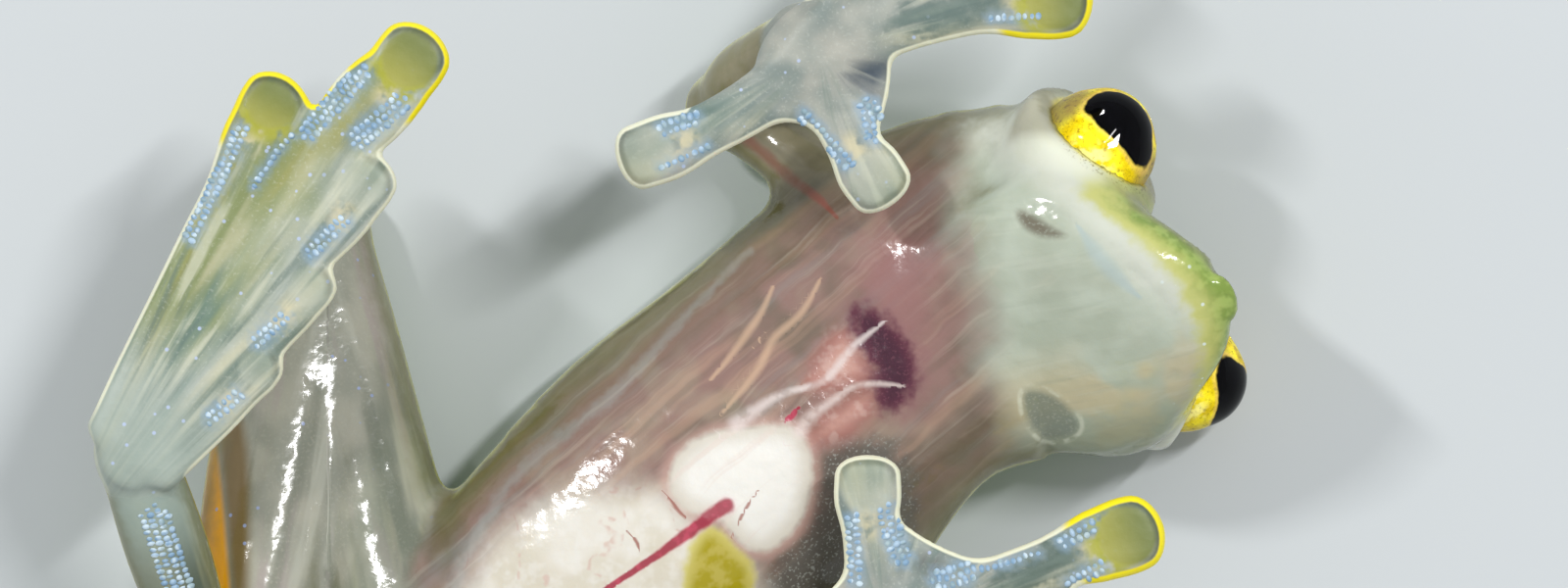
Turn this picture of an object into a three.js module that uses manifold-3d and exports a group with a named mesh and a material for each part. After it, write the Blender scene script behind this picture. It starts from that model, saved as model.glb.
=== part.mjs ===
// A life-size glass frog, lying on its back as it is seen through the pane that it clings to.
// Millimetres, +Z up. The belly faces up, the head points along +X, and the frog's right side is
// towards +Y. Palms and soles lie in one level plane, the pane, and the back and knees rest on z = 0.
// Places below are counted from the middle of the view, and the finished frog is then centred.
import * as THREE from "three";
import { mergeVertices } from "three/addons/utils/BufferGeometryUtils.js";
import Module from "manifold-3d";

// Levels of the floor under the back and of the pane over palms and soles
const FLOOR_Z = 0;
const PANE_Z = 9.4;
// The gap that neighbouring parts keep
const GAP = 0.3;

// Torso: rings from the vent to the neck, with a half width and heights above and below their centre
const TORSO = [
  { at: [-11.5, -12.9, 3.9], width: 0.7, above: 0.6, below: 0.6 },
  { at: [-10.9, -12.45, 3.8], width: 1.9, above: 1.5, below: 1.7 },
  { at: [-9.4, -11.2, 3.7], width: 3.1, above: 2.6, below: 2.9 },
  { at: [-7.3, -9.6, 3.7], width: 4.3, above: 3.4, below: 3.7 },
  { at: [-4.8, -7.8, 3.7], width: 5.05, above: 3.8, below: 3.95 },
  { at: [-2.3, -5.75, 3.7], width: 5.35, above: 3.85, below: 3.95 },
  { at: [0.3, -3.45, 3.75], width: 5.1, above: 3.5, below: 3.95 },
  { at: [2.4, -1.6, 3.8], width: 5.05, above: 3.2, below: 3.8 },
  { at: [4.2, -0.4, 3.9], width: 5.2, above: 2.95, below: 3.3 },
  { at: [6.0, -0.1, 4.0], width: 5.2, above: 2.7, below: 2.8 },
  { at: [7.5, 0.45, 4.1], width: 4.35, above: 2.4, below: 2.3 },
  { at: [8.7, 0.5, 4.3], width: 2.9, above: 1.9, below: 1.7 },
  { at: [9.3, 0.5, 4.4], width: 1.1, above: 0.8, below: 0.7 },
];
const TORSO_SQUARENESS = 2.25;
const TORSO_SIDES = 26;

// Neck: the plane where head and torso meet, with its normal towards the head
const NECK = { at: [6.0, -0.5, 4.2], normal: [0.95, -0.18, 0.3] };

// Head: turned a little to its left, lifted towards the pane and rolled so that the right eye comes
// up. Its rings give the distance ahead of the jaw's corners, the half width, and the height over
// and the depth under the lip line.
const HEAD_AT = [6.36, -0.82, 4.7];
const HEAD_YAW = 6;
const HEAD_LIFT = 30;
const HEAD_ROLL = 29;
const HEAD = [
  { ahead: -2.6, width: 3.9, over: 2.3, under: 2.6 },
  { ahead: -1.0, width: 4.1, over: 2.5, under: 2.5 },
  { ahead: 0.8, width: 4.35, over: 2.6, under: 2.2 },
  { ahead: 2.6, width: 4.7, over: 2.55, under: 1.85 },
  { ahead: 4.0, width: 4.25, over: 2.3, under: 1.6 },
  { ahead: 5.2, width: 3.35, over: 1.85, under: 1.3 },
  { ahead: 6.3, width: 2.4, over: 1.35, under: 0.95 },
  { ahead: 7.05, width: 1.55, over: 0.95, under: 0.6 },
  { ahead: 7.5, width: 0.8, over: 0.5, under: 0.25 },
];
const HEAD_SQUARENESS = 2.3;
const HEAD_STATIONS = 14;
const HEAD_SIDES = 24;

// Lips: the groove's radius, where its corners lie from neck to snout, and how far it passes the tip
const LIPS = { groove: 0.18, corner: 0.3, tip: 0.05 };
const NOSTRIL = { ahead: 6.8, aside: 0.85, over: 0.68, bump: 0.38 };
// The nostril's opening, from the middle of its bump
const NOSTRIL_HOLE = { ahead: 0.15, aside: 0.19, over: 0.2, radius: 0.22 };

// Eyes: their place on the head, where they look, and the cornea that stands proud of the globe
const EYE = { ahead: 3.45, aside: 3.88, over: 2.8, radius: 1.75 };
const GAZE = { ahead: 0.74, aside: 0.63, over: 0.23 };
const CORNEA = { radius: 1.43, bulge: 0.16 };
// Lids: a cup round each eye, set behind its centre, cut by a plane that leans towards the back
const LID = { radius: 2.32, behind: 0.35, opening: -0.12, lean: 0.25 };
// The brow runs from eye to eye over the head, and a temple from each eye back to the neck
const BROW = { ahead: 2.75, aside: 2.9, over: 1.75, half: 1.75, middleOver: 1.15, middleHalf: 1.35 };
const TEMPLE = { ahead: -1.6, aside: 3.0, over: 0.9, half: 1.3 };

// Arms: joints, half widths, and the fingers of each hand by angle in the pane and reach to the disc
const UPPER_ARM_WIDTHS = [1.45, 1.15, 0.98, 0.95];
const FOREARM_WIDTHS = [1.0, 1.22, 1.05, 0.8];
const ARMS = {
  right: {
    shoulder: [2.3, 2.7, 4.3],
    elbow: [-1.8, 5.45, 2.7],
    wrist: [0.45, 7.6, 7.3],
    palm: [1.0, 7.0],
    fingers: [
      { angle: 210, reach: 6.1, curl: 6, disc: 0.98 },
      { angle: 295, reach: 4.35, curl: -6, disc: 0.98 },
      { angle: 12, reach: 7.4, curl: 5, disc: 1.08 },
      { angle: 50, reach: 6.9, curl: 4, disc: 1.02 },
    ],
  },
  left: {
    shoulder: [4.4, -4.3, 4.2],
    elbow: [2.2, -10.0, 2.7],
    wrist: [3.1, -11.6, 7.3],
    palm: [3.0, -9.9],
    fingers: [
      { angle: 186, reach: 6.1, curl: -6, disc: 0.98 },
      { angle: 97, reach: 4.7, curl: 4, disc: 0.98 },
      { angle: 22, reach: 7.9, curl: -3, disc: 1.08 },
      { angle: -22, reach: 7.0, curl: -4, disc: 1.02 },
    ],
  },
};
const FINGER_WIDTHS = [1.0, 0.92, 0.84, 0.8, 0.8];
const FINGER = { flatness: 0.6, squareness: 2.5, steps: 8, sides: 10, capSteps: 2 };
const FINGER_DEPTH = 0.46;
// The palm's pad, turned from the third finger's line, and the stem that joins it to the wrist
const PALM = { width: 2.1, length: 1.5, height: 0.95, turn: 30 };
const PALM_STEM_WIDTHS = [1.0, 1.35];
const PALM_STEM = { flatness: 0.7, steps: 4, sides: 14 };
// Webs between neighbouring fingers: how far each runs out along both, and the depth of its notch.
// The two inner fingers are parts of their own beyond their webs.
const HAND_WEBS = [
  { first: 3.2, second: 2.7, notch: 2.2 },
  { first: 2.7, second: 5.8, notch: 1.75 },
  { first: 6.5, second: 5.8, notch: 4.4 },
];

// Legs: joints, half widths, and the place and angle of each foot in the pane
const THIGH_WIDTHS = [2.25, 2.0, 1.85, 1.7, 1.5];
const SHANK_WIDTHS = [1.45, 1.85, 1.8, 1.45, 1.05];
const TARSUS_WIDTHS = [1.0, 1.02, 1.08, 1.25];
const TARSUS = { steps: 6, sides: 12, flatness: 0.85 };
const LEG = { steps: 9, sides: 14 };
const LEGS = {
  right: {
    hip: [-11.1, -9.9, 3.3],
    knee: [-13.77, 2.0, 1.35],
    ankle: [-16.1, -13.3, 4.4],
    footBase: [-18.8, -4.5],
    footAngle: 53.9,
    side: 1,
  },
  left: {
    hip: [-8.55, -13.65, 3.3],
    knee: [1.73, -20.58, 1.35],
    ankle: [-13.3, -17.3, 4.4],
    footBase: [-6.1, -22.98],
    footAngle: 12,
    side: -1,
  },
};
// The sole runs from the foot's base, which lies this deep under the pane, to under the toes' roots
const SOLE = { baseDepth: 1.0, length: 3, depth: 0.8 };
const SOLE_WIDTHS = [1.1, 1.35];
const SOLE_FORM = { flatness: 0.6, steps: 3, sides: 14 };
// Toes 1 to 5: the disc's place along and beside the foot's axis, its half width, and the bow
const TOES = [
  { along: 3.95, beside: -1.4, disc: 0.5, bow: -0.2 },
  { along: 6.9, beside: -1.2, disc: 0.6, bow: -0.3 },
  { along: 9.85, beside: -0.6, disc: 0.82, bow: -0.35 },
  { along: 13.7, beside: 0.28, disc: 1.06, bow: -0.15 },
  { along: 10.4, beside: 2.5, disc: 1.0, bow: 0.15 },
];
const TOE_WIDTHS = [0.8, 0.7, 0.64, 0.62, 0.62, 0.62];
const TOE = { flatness: 0.62, squareness: 2.4, steps: 9, sides: 8, capSteps: 2 };
const TOE_DEPTH = 0.42;
const TOE_ROOT_SPREAD = 0.4;
// Places along and beside the foot's axis: the webs' notches and the foot's two edges
const NOTCHES = [
  [4.75, -1.3],
  [7.6, -1.15],
  [11.2, -0.35],
  [11.25, 1.85],
];
const FOOT_INNER_EDGE = [
  [-0.7, -0.9],
  [1.9, -1.25],
];
const FOOT_OUTER_EDGE = [
  [8.4, 3.05],
  [5.2, 2.4],
  [2.25, 1.95],
  [-0.7, 1.0],
];

// Skin between the digits, and how far a digit's disc narrows to its tip
const WEB_THICKNESS = 0.5;
const WEB_BELOW_PANE = 0.2;
const WEB_TO_DISC = 0.9;
const DISC_TIP = 0.93;

// Colours of the parts
const HEAD_SKIN = 0xb9bfae;
const BELLY_SKIN = 0xcdc6b4;
const LEG_SKIN = 0x8f9382;
const DIGIT_SKIN = 0xa9bcc0;
const IRIS = 0xe0b800;
const WET_SKIN_ROUGHNESS = 0.25;
const EYE_ROUGHNESS = 0.08;

const wasm = await Module();
wasm.setup();

const point = (x, y, z) => new THREE.Vector3(x, y, z);
const vector = (list) => point(...list);
const radians = (degrees) => THREE.MathUtils.degToRad(degrees);

// A direction in the level of the pane
function direction(degrees) {
  return point(Math.cos(radians(degrees)), Math.sin(radians(degrees)), 0);
}

// An angle moved by whole turns to lie within half a turn of another
const nearest = (angle, other) => angle - 360 * Math.round((angle - other) / 360);

// The plane that halves the angle of a bend, with its normal pointing to the far segment
const bendNormal = (before, at, after) =>
  at.clone().sub(before).normalize().add(after.clone().sub(at).normalize());

// A closed geometry as a solid, turned to face outwards
function solidOf(geometry) {
  const bare = new THREE.BufferGeometry().setAttribute(
    "position",
    geometry.getAttribute("position"),
  );
  if (geometry.index) bare.setIndex(geometry.index);
  const merged = mergeVertices(bare, 1e-4);
  const place = merged.getAttribute("position");
  const index = new Uint32Array(merged.index.array);
  const [a, b, c] = [point(), point(), point()];
  let sixVolumes = 0;
  for (let i = 0; i < index.length; i += 3) {
    a.fromBufferAttribute(place, index[i]);
    b.fromBufferAttribute(place, index[i + 1]);
    c.fromBufferAttribute(place, index[i + 2]);
    sixVolumes += a.dot(b.cross(c));
  }
  if (sixVolumes < 0)
    for (let i = 0; i < index.length; i += 3)
      [index[i + 1], index[i + 2]] = [index[i + 2], index[i + 1]];
  return new wasm.Manifold(
    new wasm.Mesh({ numProp: 3, vertProperties: place.array, triVerts: index }),
  );
}

function geometryOf(solid) {
  const mesh = solid.getMesh();
  const geometry = new THREE.BufferGeometry();
  geometry.setAttribute(
    "position",
    new THREE.BufferAttribute(new Float32Array(mesh.vertProperties), 3),
  );
  geometry.setIndex(new THREE.BufferAttribute(new Uint32Array(mesh.triVerts), 1));
  geometry.computeVertexNormals();
  return geometry;
}

const joined = (...solids) => solids.reduce((whole, piece) => whole.add(piece));

// The largest of a solid's separate surfaces
const largest = (solid) =>
  solid.decompose().reduce((best, piece) => (piece.volume() > best.volume() ? piece : best));

// Keeps what lies on the side of a plane that its normal points to, less half a gap
function trimmed(solid, through, normal, clearance = GAP / 2) {
  const n = normal.clone().normalize();
  return solid.trimByPlane([n.x, n.y, n.z], n.dot(through) + clearance);
}

const aboveFloor = (solid) => solid.trimByPlane([0, 0, 1], FLOOR_Z);
const underPane = (solid) => solid.trimByPlane([0, 0, -1], -PANE_Z);

// A closed skin over a row of rings. Each ring has a centre, an across and an up direction,
// a half width, a height above and below its centre, and a squareness, where 2 is an ellipse.
function loft(rings, sides) {
  const vertices = [];
  const faces = [];
  const bent = (x, squareness) => Math.sign(x) * Math.abs(x) ** (2 / squareness);
  for (const ring of rings)
    for (let i = 0; i < sides; i++) {
      const turn = (2 * Math.PI * i) / sides;
      const high = bent(Math.sin(turn), ring.squareness ?? 2);
      const wide = bent(Math.cos(turn), ring.squareness ?? 2);
      const rim = ring.centre.clone().addScaledVector(ring.across, wide * ring.width);
      rim.addScaledVector(ring.up, high * (high > 0 ? ring.above : ring.below));
      vertices.push(...rim.toArray());
    }
  for (let r = 0; r + 1 < rings.length; r++)
    for (let i = 0; i < sides; i++) {
      const [a, b] = [r * sides + i, r * sides + ((i + 1) % sides)];
      const [c, d] = [a + sides, b + sides];
      faces.push(a, b, d, a, d, c);
    }
  const close = (r, flip) => {
    const middle = vertices.length / 3;
    vertices.push(...rings[r].centre.toArray());
    for (let i = 0; i < sides; i++) {
      const [a, b] = [r * sides + i, r * sides + ((i + 1) % sides)];
      faces.push(...(flip ? [middle, b, a] : [middle, a, b]));
    }
  };
  close(0, true);
  close(rings.length - 1, false);
  const geometry = new THREE.BufferGeometry();
  geometry.setAttribute("position", new THREE.Float32BufferAttribute(vertices, 3));
  geometry.setIndex(faces);
  return solidOf(geometry);
}

// The value at t, from 0 to 1, of a row of evenly spaced sizes, joined smoothly
function sizeAt(sizes, t) {
  const curve = new THREE.SplineCurve(sizes.map((size, i) => new THREE.Vector2(i, size)));
  return curve.getPoint(t).y;
}

// A round-ended limb along a smooth path. Its half widths are spaced evenly along it, and flatness
// is its height over its width.
function limb(path, widths, options = {}) {
  const { flatness = 1, squareness = 2, steps = 8, sides = 12, capSteps = 3 } = options;
  const curve = new THREE.CatmullRomCurve3(path, false, "centripetal");
  const ringAt = (t, capAngle, sign) => {
    const tangent = curve.getTangentAt(t);
    const across = new THREE.Vector3().crossVectors(tangent, point(0, 0, 1)).normalize();
    const up = new THREE.Vector3().crossVectors(across, tangent).normalize();
    const width = sizeAt(widths, t);
    const height = width * flatness;
    const out = sign * Math.sin(capAngle) * Math.min(width, height);
    return {
      centre: curve.getPointAt(t).addScaledVector(tangent, out),
      across,
      up,
      width: width * Math.cos(capAngle),
      above: height * Math.cos(capAngle),
      below: height * Math.cos(capAngle),
      squareness,
    };
  };
  // The last ring of a cap stops a little short of its pole
  const capAngle = (i) => (i / (capSteps + 0.25)) * (Math.PI / 2);
  const rings = [];
  for (let i = capSteps; i > 0; i--) rings.push(ringAt(0, capAngle(i), -1));
  for (let i = 0; i <= steps; i++) rings.push(ringAt(i / steps, 0, 0));
  for (let i = 1; i <= capSteps; i++) rings.push(ringAt(1, capAngle(i), 1));
  return loft(rings, sides);
}

function ball(centre, radius, across, down, axis = point(0, 0, 1)) {
  const sphere = new THREE.SphereGeometry(radius, across, down);
  sphere.applyQuaternion(new THREE.Quaternion().setFromUnitVectors(point(0, 1, 0), axis));
  sphere.translate(centre.x, centre.y, centre.z);
  return solidOf(sphere);
}

// A flat plate of skin with the given outline, its upper face a little under the pane
function webPlate(outline) {
  const plate = new THREE.ExtrudeGeometry(outline, {
    depth: WEB_THICKNESS,
    bevelEnabled: false,
    curveSegments: 6,
  });
  plate.translate(0, 0, PANE_Z - WEB_THICKNESS - WEB_BELOW_PANE);
  return solidOf(plate);
}

// The torso's form, which also runs on beyond the neck, where the head takes it over
function torsoForm(grow = 0) {
  const path = new THREE.CatmullRomCurve3(
    TORSO.map((ring) => vector(ring.at)),
    false,
    "centripetal",
  );
  const rings = TORSO.map((ring, i) => {
    const tangent = path.getTangent(i / (TORSO.length - 1));
    return {
      centre: vector(ring.at),
      across: new THREE.Vector3().crossVectors(point(0, 0, 1), tangent).normalize(),
      up: point(0, 0, 1),
      width: ring.width + grow,
      above: ring.above + grow,
      below: ring.below + grow,
      squareness: TORSO_SQUARENESS,
    };
  });
  return loft(rings, TORSO_SIDES);
}

function torsoSolid() {
  const torso = aboveFloor(torsoForm());
  return largest(trimmed(torso, vector(NECK.at), vector(NECK.normal).negate()));
}

// The head's own forward, left and dorsal directions
function headFrame() {
  const [yaw, lift, roll] = [HEAD_YAW, HEAD_LIFT, HEAD_ROLL].map(radians);
  const f = point(Math.cos(lift) * Math.cos(yaw), Math.cos(lift) * Math.sin(yaw), Math.sin(lift));
  const level = point(Math.sin(yaw), -Math.cos(yaw), 0);
  const l = level.clone().multiplyScalar(Math.cos(roll));
  l.addScaledVector(new THREE.Vector3().crossVectors(f, level), Math.sin(roll));
  return [f, l, new THREE.Vector3().crossVectors(f, l)];
}
const [forward, left, dorsal] = headFrame();

// A point of the head from its distances forward, to the left and towards the back
function onHead(ahead, aside, over) {
  return vector(HEAD_AT)
    .addScaledVector(forward, ahead)
    .addScaledVector(left, aside)
    .addScaledVector(dorsal, over);
}

const eyeCentre = (side) => onHead(EYE.ahead, side * EYE.aside, EYE.over);
const gaze = (side) =>
  new THREE.Vector3()
    .addScaledVector(forward, GAZE.ahead)
    .addScaledVector(left, side * GAZE.aside)
    .addScaledVector(dorsal, GAZE.over)
    .normalize();

// The head's ring at a station from 0 at the neck to 1 at the snout
function headRing(t) {
  const [ahead, width, over, under] = ["ahead", "width", "over", "under"].map((key) =>
    sizeAt(HEAD.map((ring) => ring[key]), t),
  );
  return { ahead, width, over, under };
}

function headForm() {
  const rings = Array.from({ length: HEAD_STATIONS + 1 }, (_, i) => {
    const ring = headRing(i / HEAD_STATIONS);
    return {
      centre: onHead(ring.ahead, 0, 0),
      across: left,
      up: dorsal,
      width: ring.width,
      above: ring.over,
      below: ring.under,
      squareness: HEAD_SQUARENESS,
    };
  });
  return loft(rings, HEAD_SIDES);
}

// The lip line: a thin tube that follows the head's widest line from corner to corner
function lipGroove() {
  const stations = Array.from({ length: HEAD_STATIONS + 1 }, (_, i) => i / HEAD_STATIONS);
  const half = stations.filter((t) => t >= LIPS.corner).map(headRing);
  const line = [
    ...half.map((ring) => onHead(ring.ahead, ring.width, 0)),
    onHead(HEAD.at(-1).ahead + LIPS.tip, 0, 0),
    ...half.reverse().map((ring) => onHead(ring.ahead, -ring.width, 0)),
  ];
  return limb(line, [LIPS.groove, LIPS.groove], { steps: 36, sides: 6, capSteps: 1 });
}

// The lids: a cup round each eye whose rim leans, so that it stands higher on the jaw's side
function lidCup(side) {
  const eye = eyeCentre(side);
  const look = gaze(side);
  const cup = ball(eye.clone().addScaledVector(look, -LID.behind), LID.radius, 18, 12, look);
  const rim = look.clone().addScaledVector(dorsal, LID.lean).normalize();
  return trimmed(cup, eye.clone().addScaledVector(rim, LID.opening), rim.negate(), 0);
}

const eyeSocket = (side) => ball(eyeCentre(side), EYE.radius + GAP, 18, 12, gaze(side));

// The swell of the skull that carries both eyes
function browForm() {
  const arch = [
    onHead(BROW.ahead, BROW.aside, BROW.over),
    onHead(BROW.ahead, 0, BROW.middleOver),
    onHead(BROW.ahead, -BROW.aside, BROW.over),
  ];
  const brow = limb(arch, [BROW.half, BROW.middleHalf, BROW.half], { steps: 6 });
  const temples = [1, -1].map((side) => {
    const back = onHead(TEMPLE.ahead, side * TEMPLE.aside, TEMPLE.over);
    const front = onHead(BROW.ahead, side * BROW.aside, BROW.over);
    return limb([front, back], [BROW.half, TEMPLE.half], { steps: 3 });
  });
  return joined(brow, ...temples);
}

function nostrilBump(side) {
  return ball(onHead(NOSTRIL.ahead, side * NOSTRIL.aside, NOSTRIL.over), NOSTRIL.bump, 10, 6);
}

function nostrilHole(side) {
  const aside = side * (NOSTRIL.aside + NOSTRIL_HOLE.aside);
  const at = onHead(NOSTRIL.ahead + NOSTRIL_HOLE.ahead, aside, NOSTRIL.over + NOSTRIL_HOLE.over);
  return ball(at, NOSTRIL_HOLE.radius, 10, 8);
}

function headSolid() {
  const neck = trimmed(torsoForm(), vector(NECK.at), vector(NECK.normal), 0);
  const lids = [1, -1].map(lidCup);
  const nostrils = [1, -1].map(nostrilBump);
  let head = joined(headForm(), neck, browForm(), ...lids, ...nostrils);
  for (const hollow of [lipGroove(), ...[1, -1].flatMap((side) => [eyeSocket(side), nostrilHole(side)])])
    head = head.subtract(hollow);
  return largest(trimmed(head, vector(NECK.at), vector(NECK.normal)));
}

// The eyeball, with the cornea standing a little proud in front
function eyeSolid(side) {
  const look = gaze(side);
  const globe = ball(eyeCentre(side), EYE.radius, 18, 12, look);
  const forwardBy = EYE.radius + CORNEA.bulge - CORNEA.radius;
  const front = eyeCentre(side).addScaledVector(look, forwardBy);
  return globe.add(ball(front, CORNEA.radius, 18, 10, look));
}

// The line of a digit from its root to the centre of its disc, bowed to one side
function digitPath(root, angle, reach, curl, depth) {
  const along = direction(angle);
  const aside = direction(angle + 90);
  return [0, 0.35, 0.7, 1].map((t) =>
    point(root[0], root[1], PANE_Z - depth)
      .addScaledVector(along, reach * t)
      .addScaledVector(aside, reach * 0.01 * curl * Math.sin(Math.PI * t)),
  );
}

function fingerForm(arm, finger) {
  const path = digitPath(arm.palm, finger.angle, finger.reach, finger.curl, FINGER_DEPTH);
  return limb(path, [...FINGER_WIDTHS, finger.disc, DISC_TIP * finger.disc], FINGER);
}

// Webbing between two fingers that share a root
function webBetween(root, one, two, web) {
  const shape = new THREE.Shape();
  const plan = (angle, far) => {
    const out = direction(angle).multiplyScalar(far);
    return [root[0] + out.x, root[1] + out.y];
  };
  shape.moveTo(...plan(0, 0));
  shape.lineTo(...plan(one.angle, web.first));
  const middle = (one.angle + nearest(two.angle, one.angle)) / 2;
  shape.quadraticCurveTo(...plan(middle, web.notch), ...plan(two.angle, web.second));
  shape.closePath();
  return webPlate(shape);
}

function palmForm(arm) {
  const at = point(...arm.palm, PANE_Z - PALM.height);
  const stem = limb([vector(arm.wrist), at], PALM_STEM_WIDTHS, PALM_STEM);
  const pad = new THREE.SphereGeometry(1, 18, 10);
  pad.scale(PALM.width, PALM.length, PALM.height);
  pad.rotateZ(radians(arm.fingers[2].angle + PALM.turn));
  pad.translate(at.x, at.y, at.z);
  return stem.add(solidOf(pad));
}

// The parts of an arm. A hand keeps its webs, its two outer fingers and the roots of the inner two.
function armSolids(arm, torsoGrown) {
  const [shoulder, elbow, wrist] = [arm.shoulder, arm.elbow, arm.wrist].map(vector);
  const palmAt = point(...arm.palm, PANE_Z - PALM.height);
  const elbowNormal = bendNormal(shoulder, elbow, wrist);
  const wristNormal = bendNormal(elbow, wrist, palmAt);
  const upper = limb([shoulder, elbow], UPPER_ARM_WIDTHS, { steps: 6 });
  const fore = trimmed(limb([elbow, wrist], FOREARM_WIDTHS, { steps: 6 }), elbow, elbowNormal);
  const webs = HAND_WEBS.map((web, i) =>
    webBetween(arm.palm, arm.fingers[i], arm.fingers[i + 1], web),
  );
  const webbed = arm.fingers.slice(2).map((finger) => fingerForm(arm, finger));
  let hand = underPane(joined(palmForm(arm), ...webbed, ...webs));
  const free = [0, 1].map((i) => {
    const along = direction(arm.fingers[i].angle);
    const base = point(...arm.palm, PANE_Z).addScaledVector(along, HAND_WEBS[i].first);
    const finger = underPane(fingerForm(arm, arm.fingers[i]));
    hand = hand.add(trimmed(finger, base, along.clone().negate(), 0));
    return largest(trimmed(finger, base, along, GAP));
  });
  return {
    upper_arm: largest(trimmed(upper.subtract(torsoGrown), elbow, elbowNormal.clone().negate())),
    forearm: largest(trimmed(fore, wrist, wristNormal.clone().negate())),
    hand: largest(trimmed(hand, wrist, wristNormal)),
    finger_1: free[0],
    finger_2: free[1],
  };
}

// From the foot's own frame to the frog's, at the level of the pane
function onFoot(leg, along, beside, depth = 0) {
  return point(leg.footBase[0], leg.footBase[1], PANE_Z - depth)
    .addScaledVector(direction(leg.footAngle), along)
    .addScaledVector(direction(leg.footAngle + 90), leg.side * beside);
}

function toeForm(leg, toe, i) {
  const rootBeside = (i - 2) * TOE_ROOT_SPREAD;
  const path = [0, 0.3, 0.65, 1].map((t) => {
    const beside = rootBeside * (1 - t) + toe.beside * t + toe.bow * Math.sin(Math.PI * t);
    return onFoot(leg, toe.along * t, beside, TOE_DEPTH);
  });
  return limb(path, [...TOE_WIDTHS, toe.disc, DISC_TIP * toe.disc], TOE);
}

// The webbed skin of a foot: along its inner edge, round each disc and into each notch
function footWeb(leg) {
  const outline = new THREE.Shape();
  const plan = ([along, beside]) => onFoot(leg, along, beside).toArray().slice(0, 2);
  outline.moveTo(...plan(FOOT_INNER_EDGE[0]));
  outline.lineTo(...plan(FOOT_INNER_EDGE[1]));
  TOES.forEach((toe, i) => {
    outline.lineTo(...plan([toe.along, toe.beside - WEB_TO_DISC * toe.disc]));
    outline.lineTo(...plan([toe.along, toe.beside + WEB_TO_DISC * toe.disc]));
    if (i < NOTCHES.length) outline.lineTo(...plan(NOTCHES[i]));
  });
  FOOT_OUTER_EDGE.forEach((place) => outline.lineTo(...plan(place)));
  outline.closePath();
  return webPlate(outline);
}

function legSolids(leg, torsoGrown) {
  const [hip, knee, ankle] = [leg.hip, leg.knee, leg.ankle].map(vector);
  const base = onFoot(leg, 0, 0, SOLE.baseDepth);
  const beyond = onFoot(leg, SOLE.length, 0, SOLE.depth);
  const kneeNormal = bendNormal(hip, knee, ankle);
  const ankleNormal = bendNormal(knee, ankle, base);
  const footNormal = bendNormal(ankle, base, beyond);
  const thigh = aboveFloor(limb([hip, knee], THIGH_WIDTHS, LEG)).subtract(torsoGrown);
  const shank = trimmed(aboveFloor(limb([knee, ankle], SHANK_WIDTHS, LEG)), knee, kneeNormal);
  const tarsus = trimmed(limb([ankle, base], TARSUS_WIDTHS, TARSUS), ankle, ankleNormal);
  const toes = TOES.map((toe, i) => toeForm(leg, toe, i));
  const foot = underPane(joined(limb([base, beyond], SOLE_WIDTHS, SOLE_FORM), footWeb(leg), ...toes));
  return {
    thigh: largest(trimmed(thigh, knee, kneeNormal.clone().negate())),
    shank: largest(trimmed(shank, ankle, ankleNormal.clone().negate())),
    tarsus: largest(trimmed(tarsus, base, footNormal.clone().negate())),
    foot: largest(trimmed(foot, base, footNormal)),
  };
}

const PART_COLOURS = {
  upper_arm: HEAD_SKIN,
  forearm: HEAD_SKIN,
  hand: DIGIT_SKIN,
  finger_1: DIGIT_SKIN,
  finger_2: DIGIT_SKIN,
  thigh: LEG_SKIN,
  shank: LEG_SKIN,
  tarsus: LEG_SKIN,
  foot: DIGIT_SKIN,
};

function meshOf(name, solid, color, roughness = WET_SKIN_ROUGHNESS) {
  const material = new THREE.MeshStandardMaterial({ color, roughness, metalness: 0 });
  const mesh = new THREE.Mesh(geometryOf(solid), material);
  mesh.name = name;
  return mesh;
}

function frog() {
  const group = new THREE.Group();
  const torsoGrown = torsoForm(GAP);
  group.add(meshOf("torso", torsoSolid(), BELLY_SKIN));
  group.add(meshOf("head", headSolid(), HEAD_SKIN));
  for (const [name, side] of Object.entries({ left: 1, right: -1 })) {
    group.add(meshOf(`eye_${name}`, eyeSolid(side), IRIS, EYE_ROUGHNESS));
    const limbs = { ...armSolids(ARMS[name], torsoGrown), ...legSolids(LEGS[name], torsoGrown) };
    for (const [part, solid] of Object.entries(limbs))
      group.add(meshOf(`${part}_${name}`, solid, PART_COLOURS[part]));
  }
  const middle = new THREE.Box3().setFromObject(group).getCenter(point());
  group.position.set(-middle.x, -middle.y, 0);
  return group;
}

export default frog();
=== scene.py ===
# %% [markdown]
# # A glass frog under glass
# This lesson dresses a life-size glass frog. The frog clings to a pane, and the photograph looks
# through that pane at its belly. Here it lies on its back, so the camera looks straight down.
# The frame below holds the plain solids that set every size and place. We load it first, because
# each piece that we make has to sit where those solids are.

# %% Load the frame
import math
import bpy
import numpy as np
import openvdb
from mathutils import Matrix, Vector
from mathutils.bvhtree import BVHTree
from mathutils.kdtree import KDTree


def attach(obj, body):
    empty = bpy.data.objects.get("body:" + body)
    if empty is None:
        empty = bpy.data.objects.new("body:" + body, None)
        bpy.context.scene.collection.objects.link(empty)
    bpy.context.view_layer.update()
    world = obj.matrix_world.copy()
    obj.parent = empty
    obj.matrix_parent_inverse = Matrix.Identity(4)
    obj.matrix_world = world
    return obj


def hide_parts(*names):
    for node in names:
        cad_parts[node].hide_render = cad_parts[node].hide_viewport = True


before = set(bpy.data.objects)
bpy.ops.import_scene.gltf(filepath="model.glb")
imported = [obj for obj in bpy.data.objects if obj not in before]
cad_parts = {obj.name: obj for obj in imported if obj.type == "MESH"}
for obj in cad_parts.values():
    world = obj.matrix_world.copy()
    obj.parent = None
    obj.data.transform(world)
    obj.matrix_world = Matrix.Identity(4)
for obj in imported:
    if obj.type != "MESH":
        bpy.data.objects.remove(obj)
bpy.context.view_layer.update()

# %% [markdown]
# ## Sizes in the view
# The frog is small, so we model it in millimetres and bring each finished mesh to metres at the end.
# Places are counted from the middle of the photograph, as it is easier to check them against it:
# X runs to the right, Y up the picture, and Z towards the eye. One millimetre is 35 pixels there.

# %% Units and places
MM = 0.001
PIXELS_PER_MM = 35.0
PHOTO_WIDTH = 1600
PHOTO_HEIGHT = 600
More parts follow.
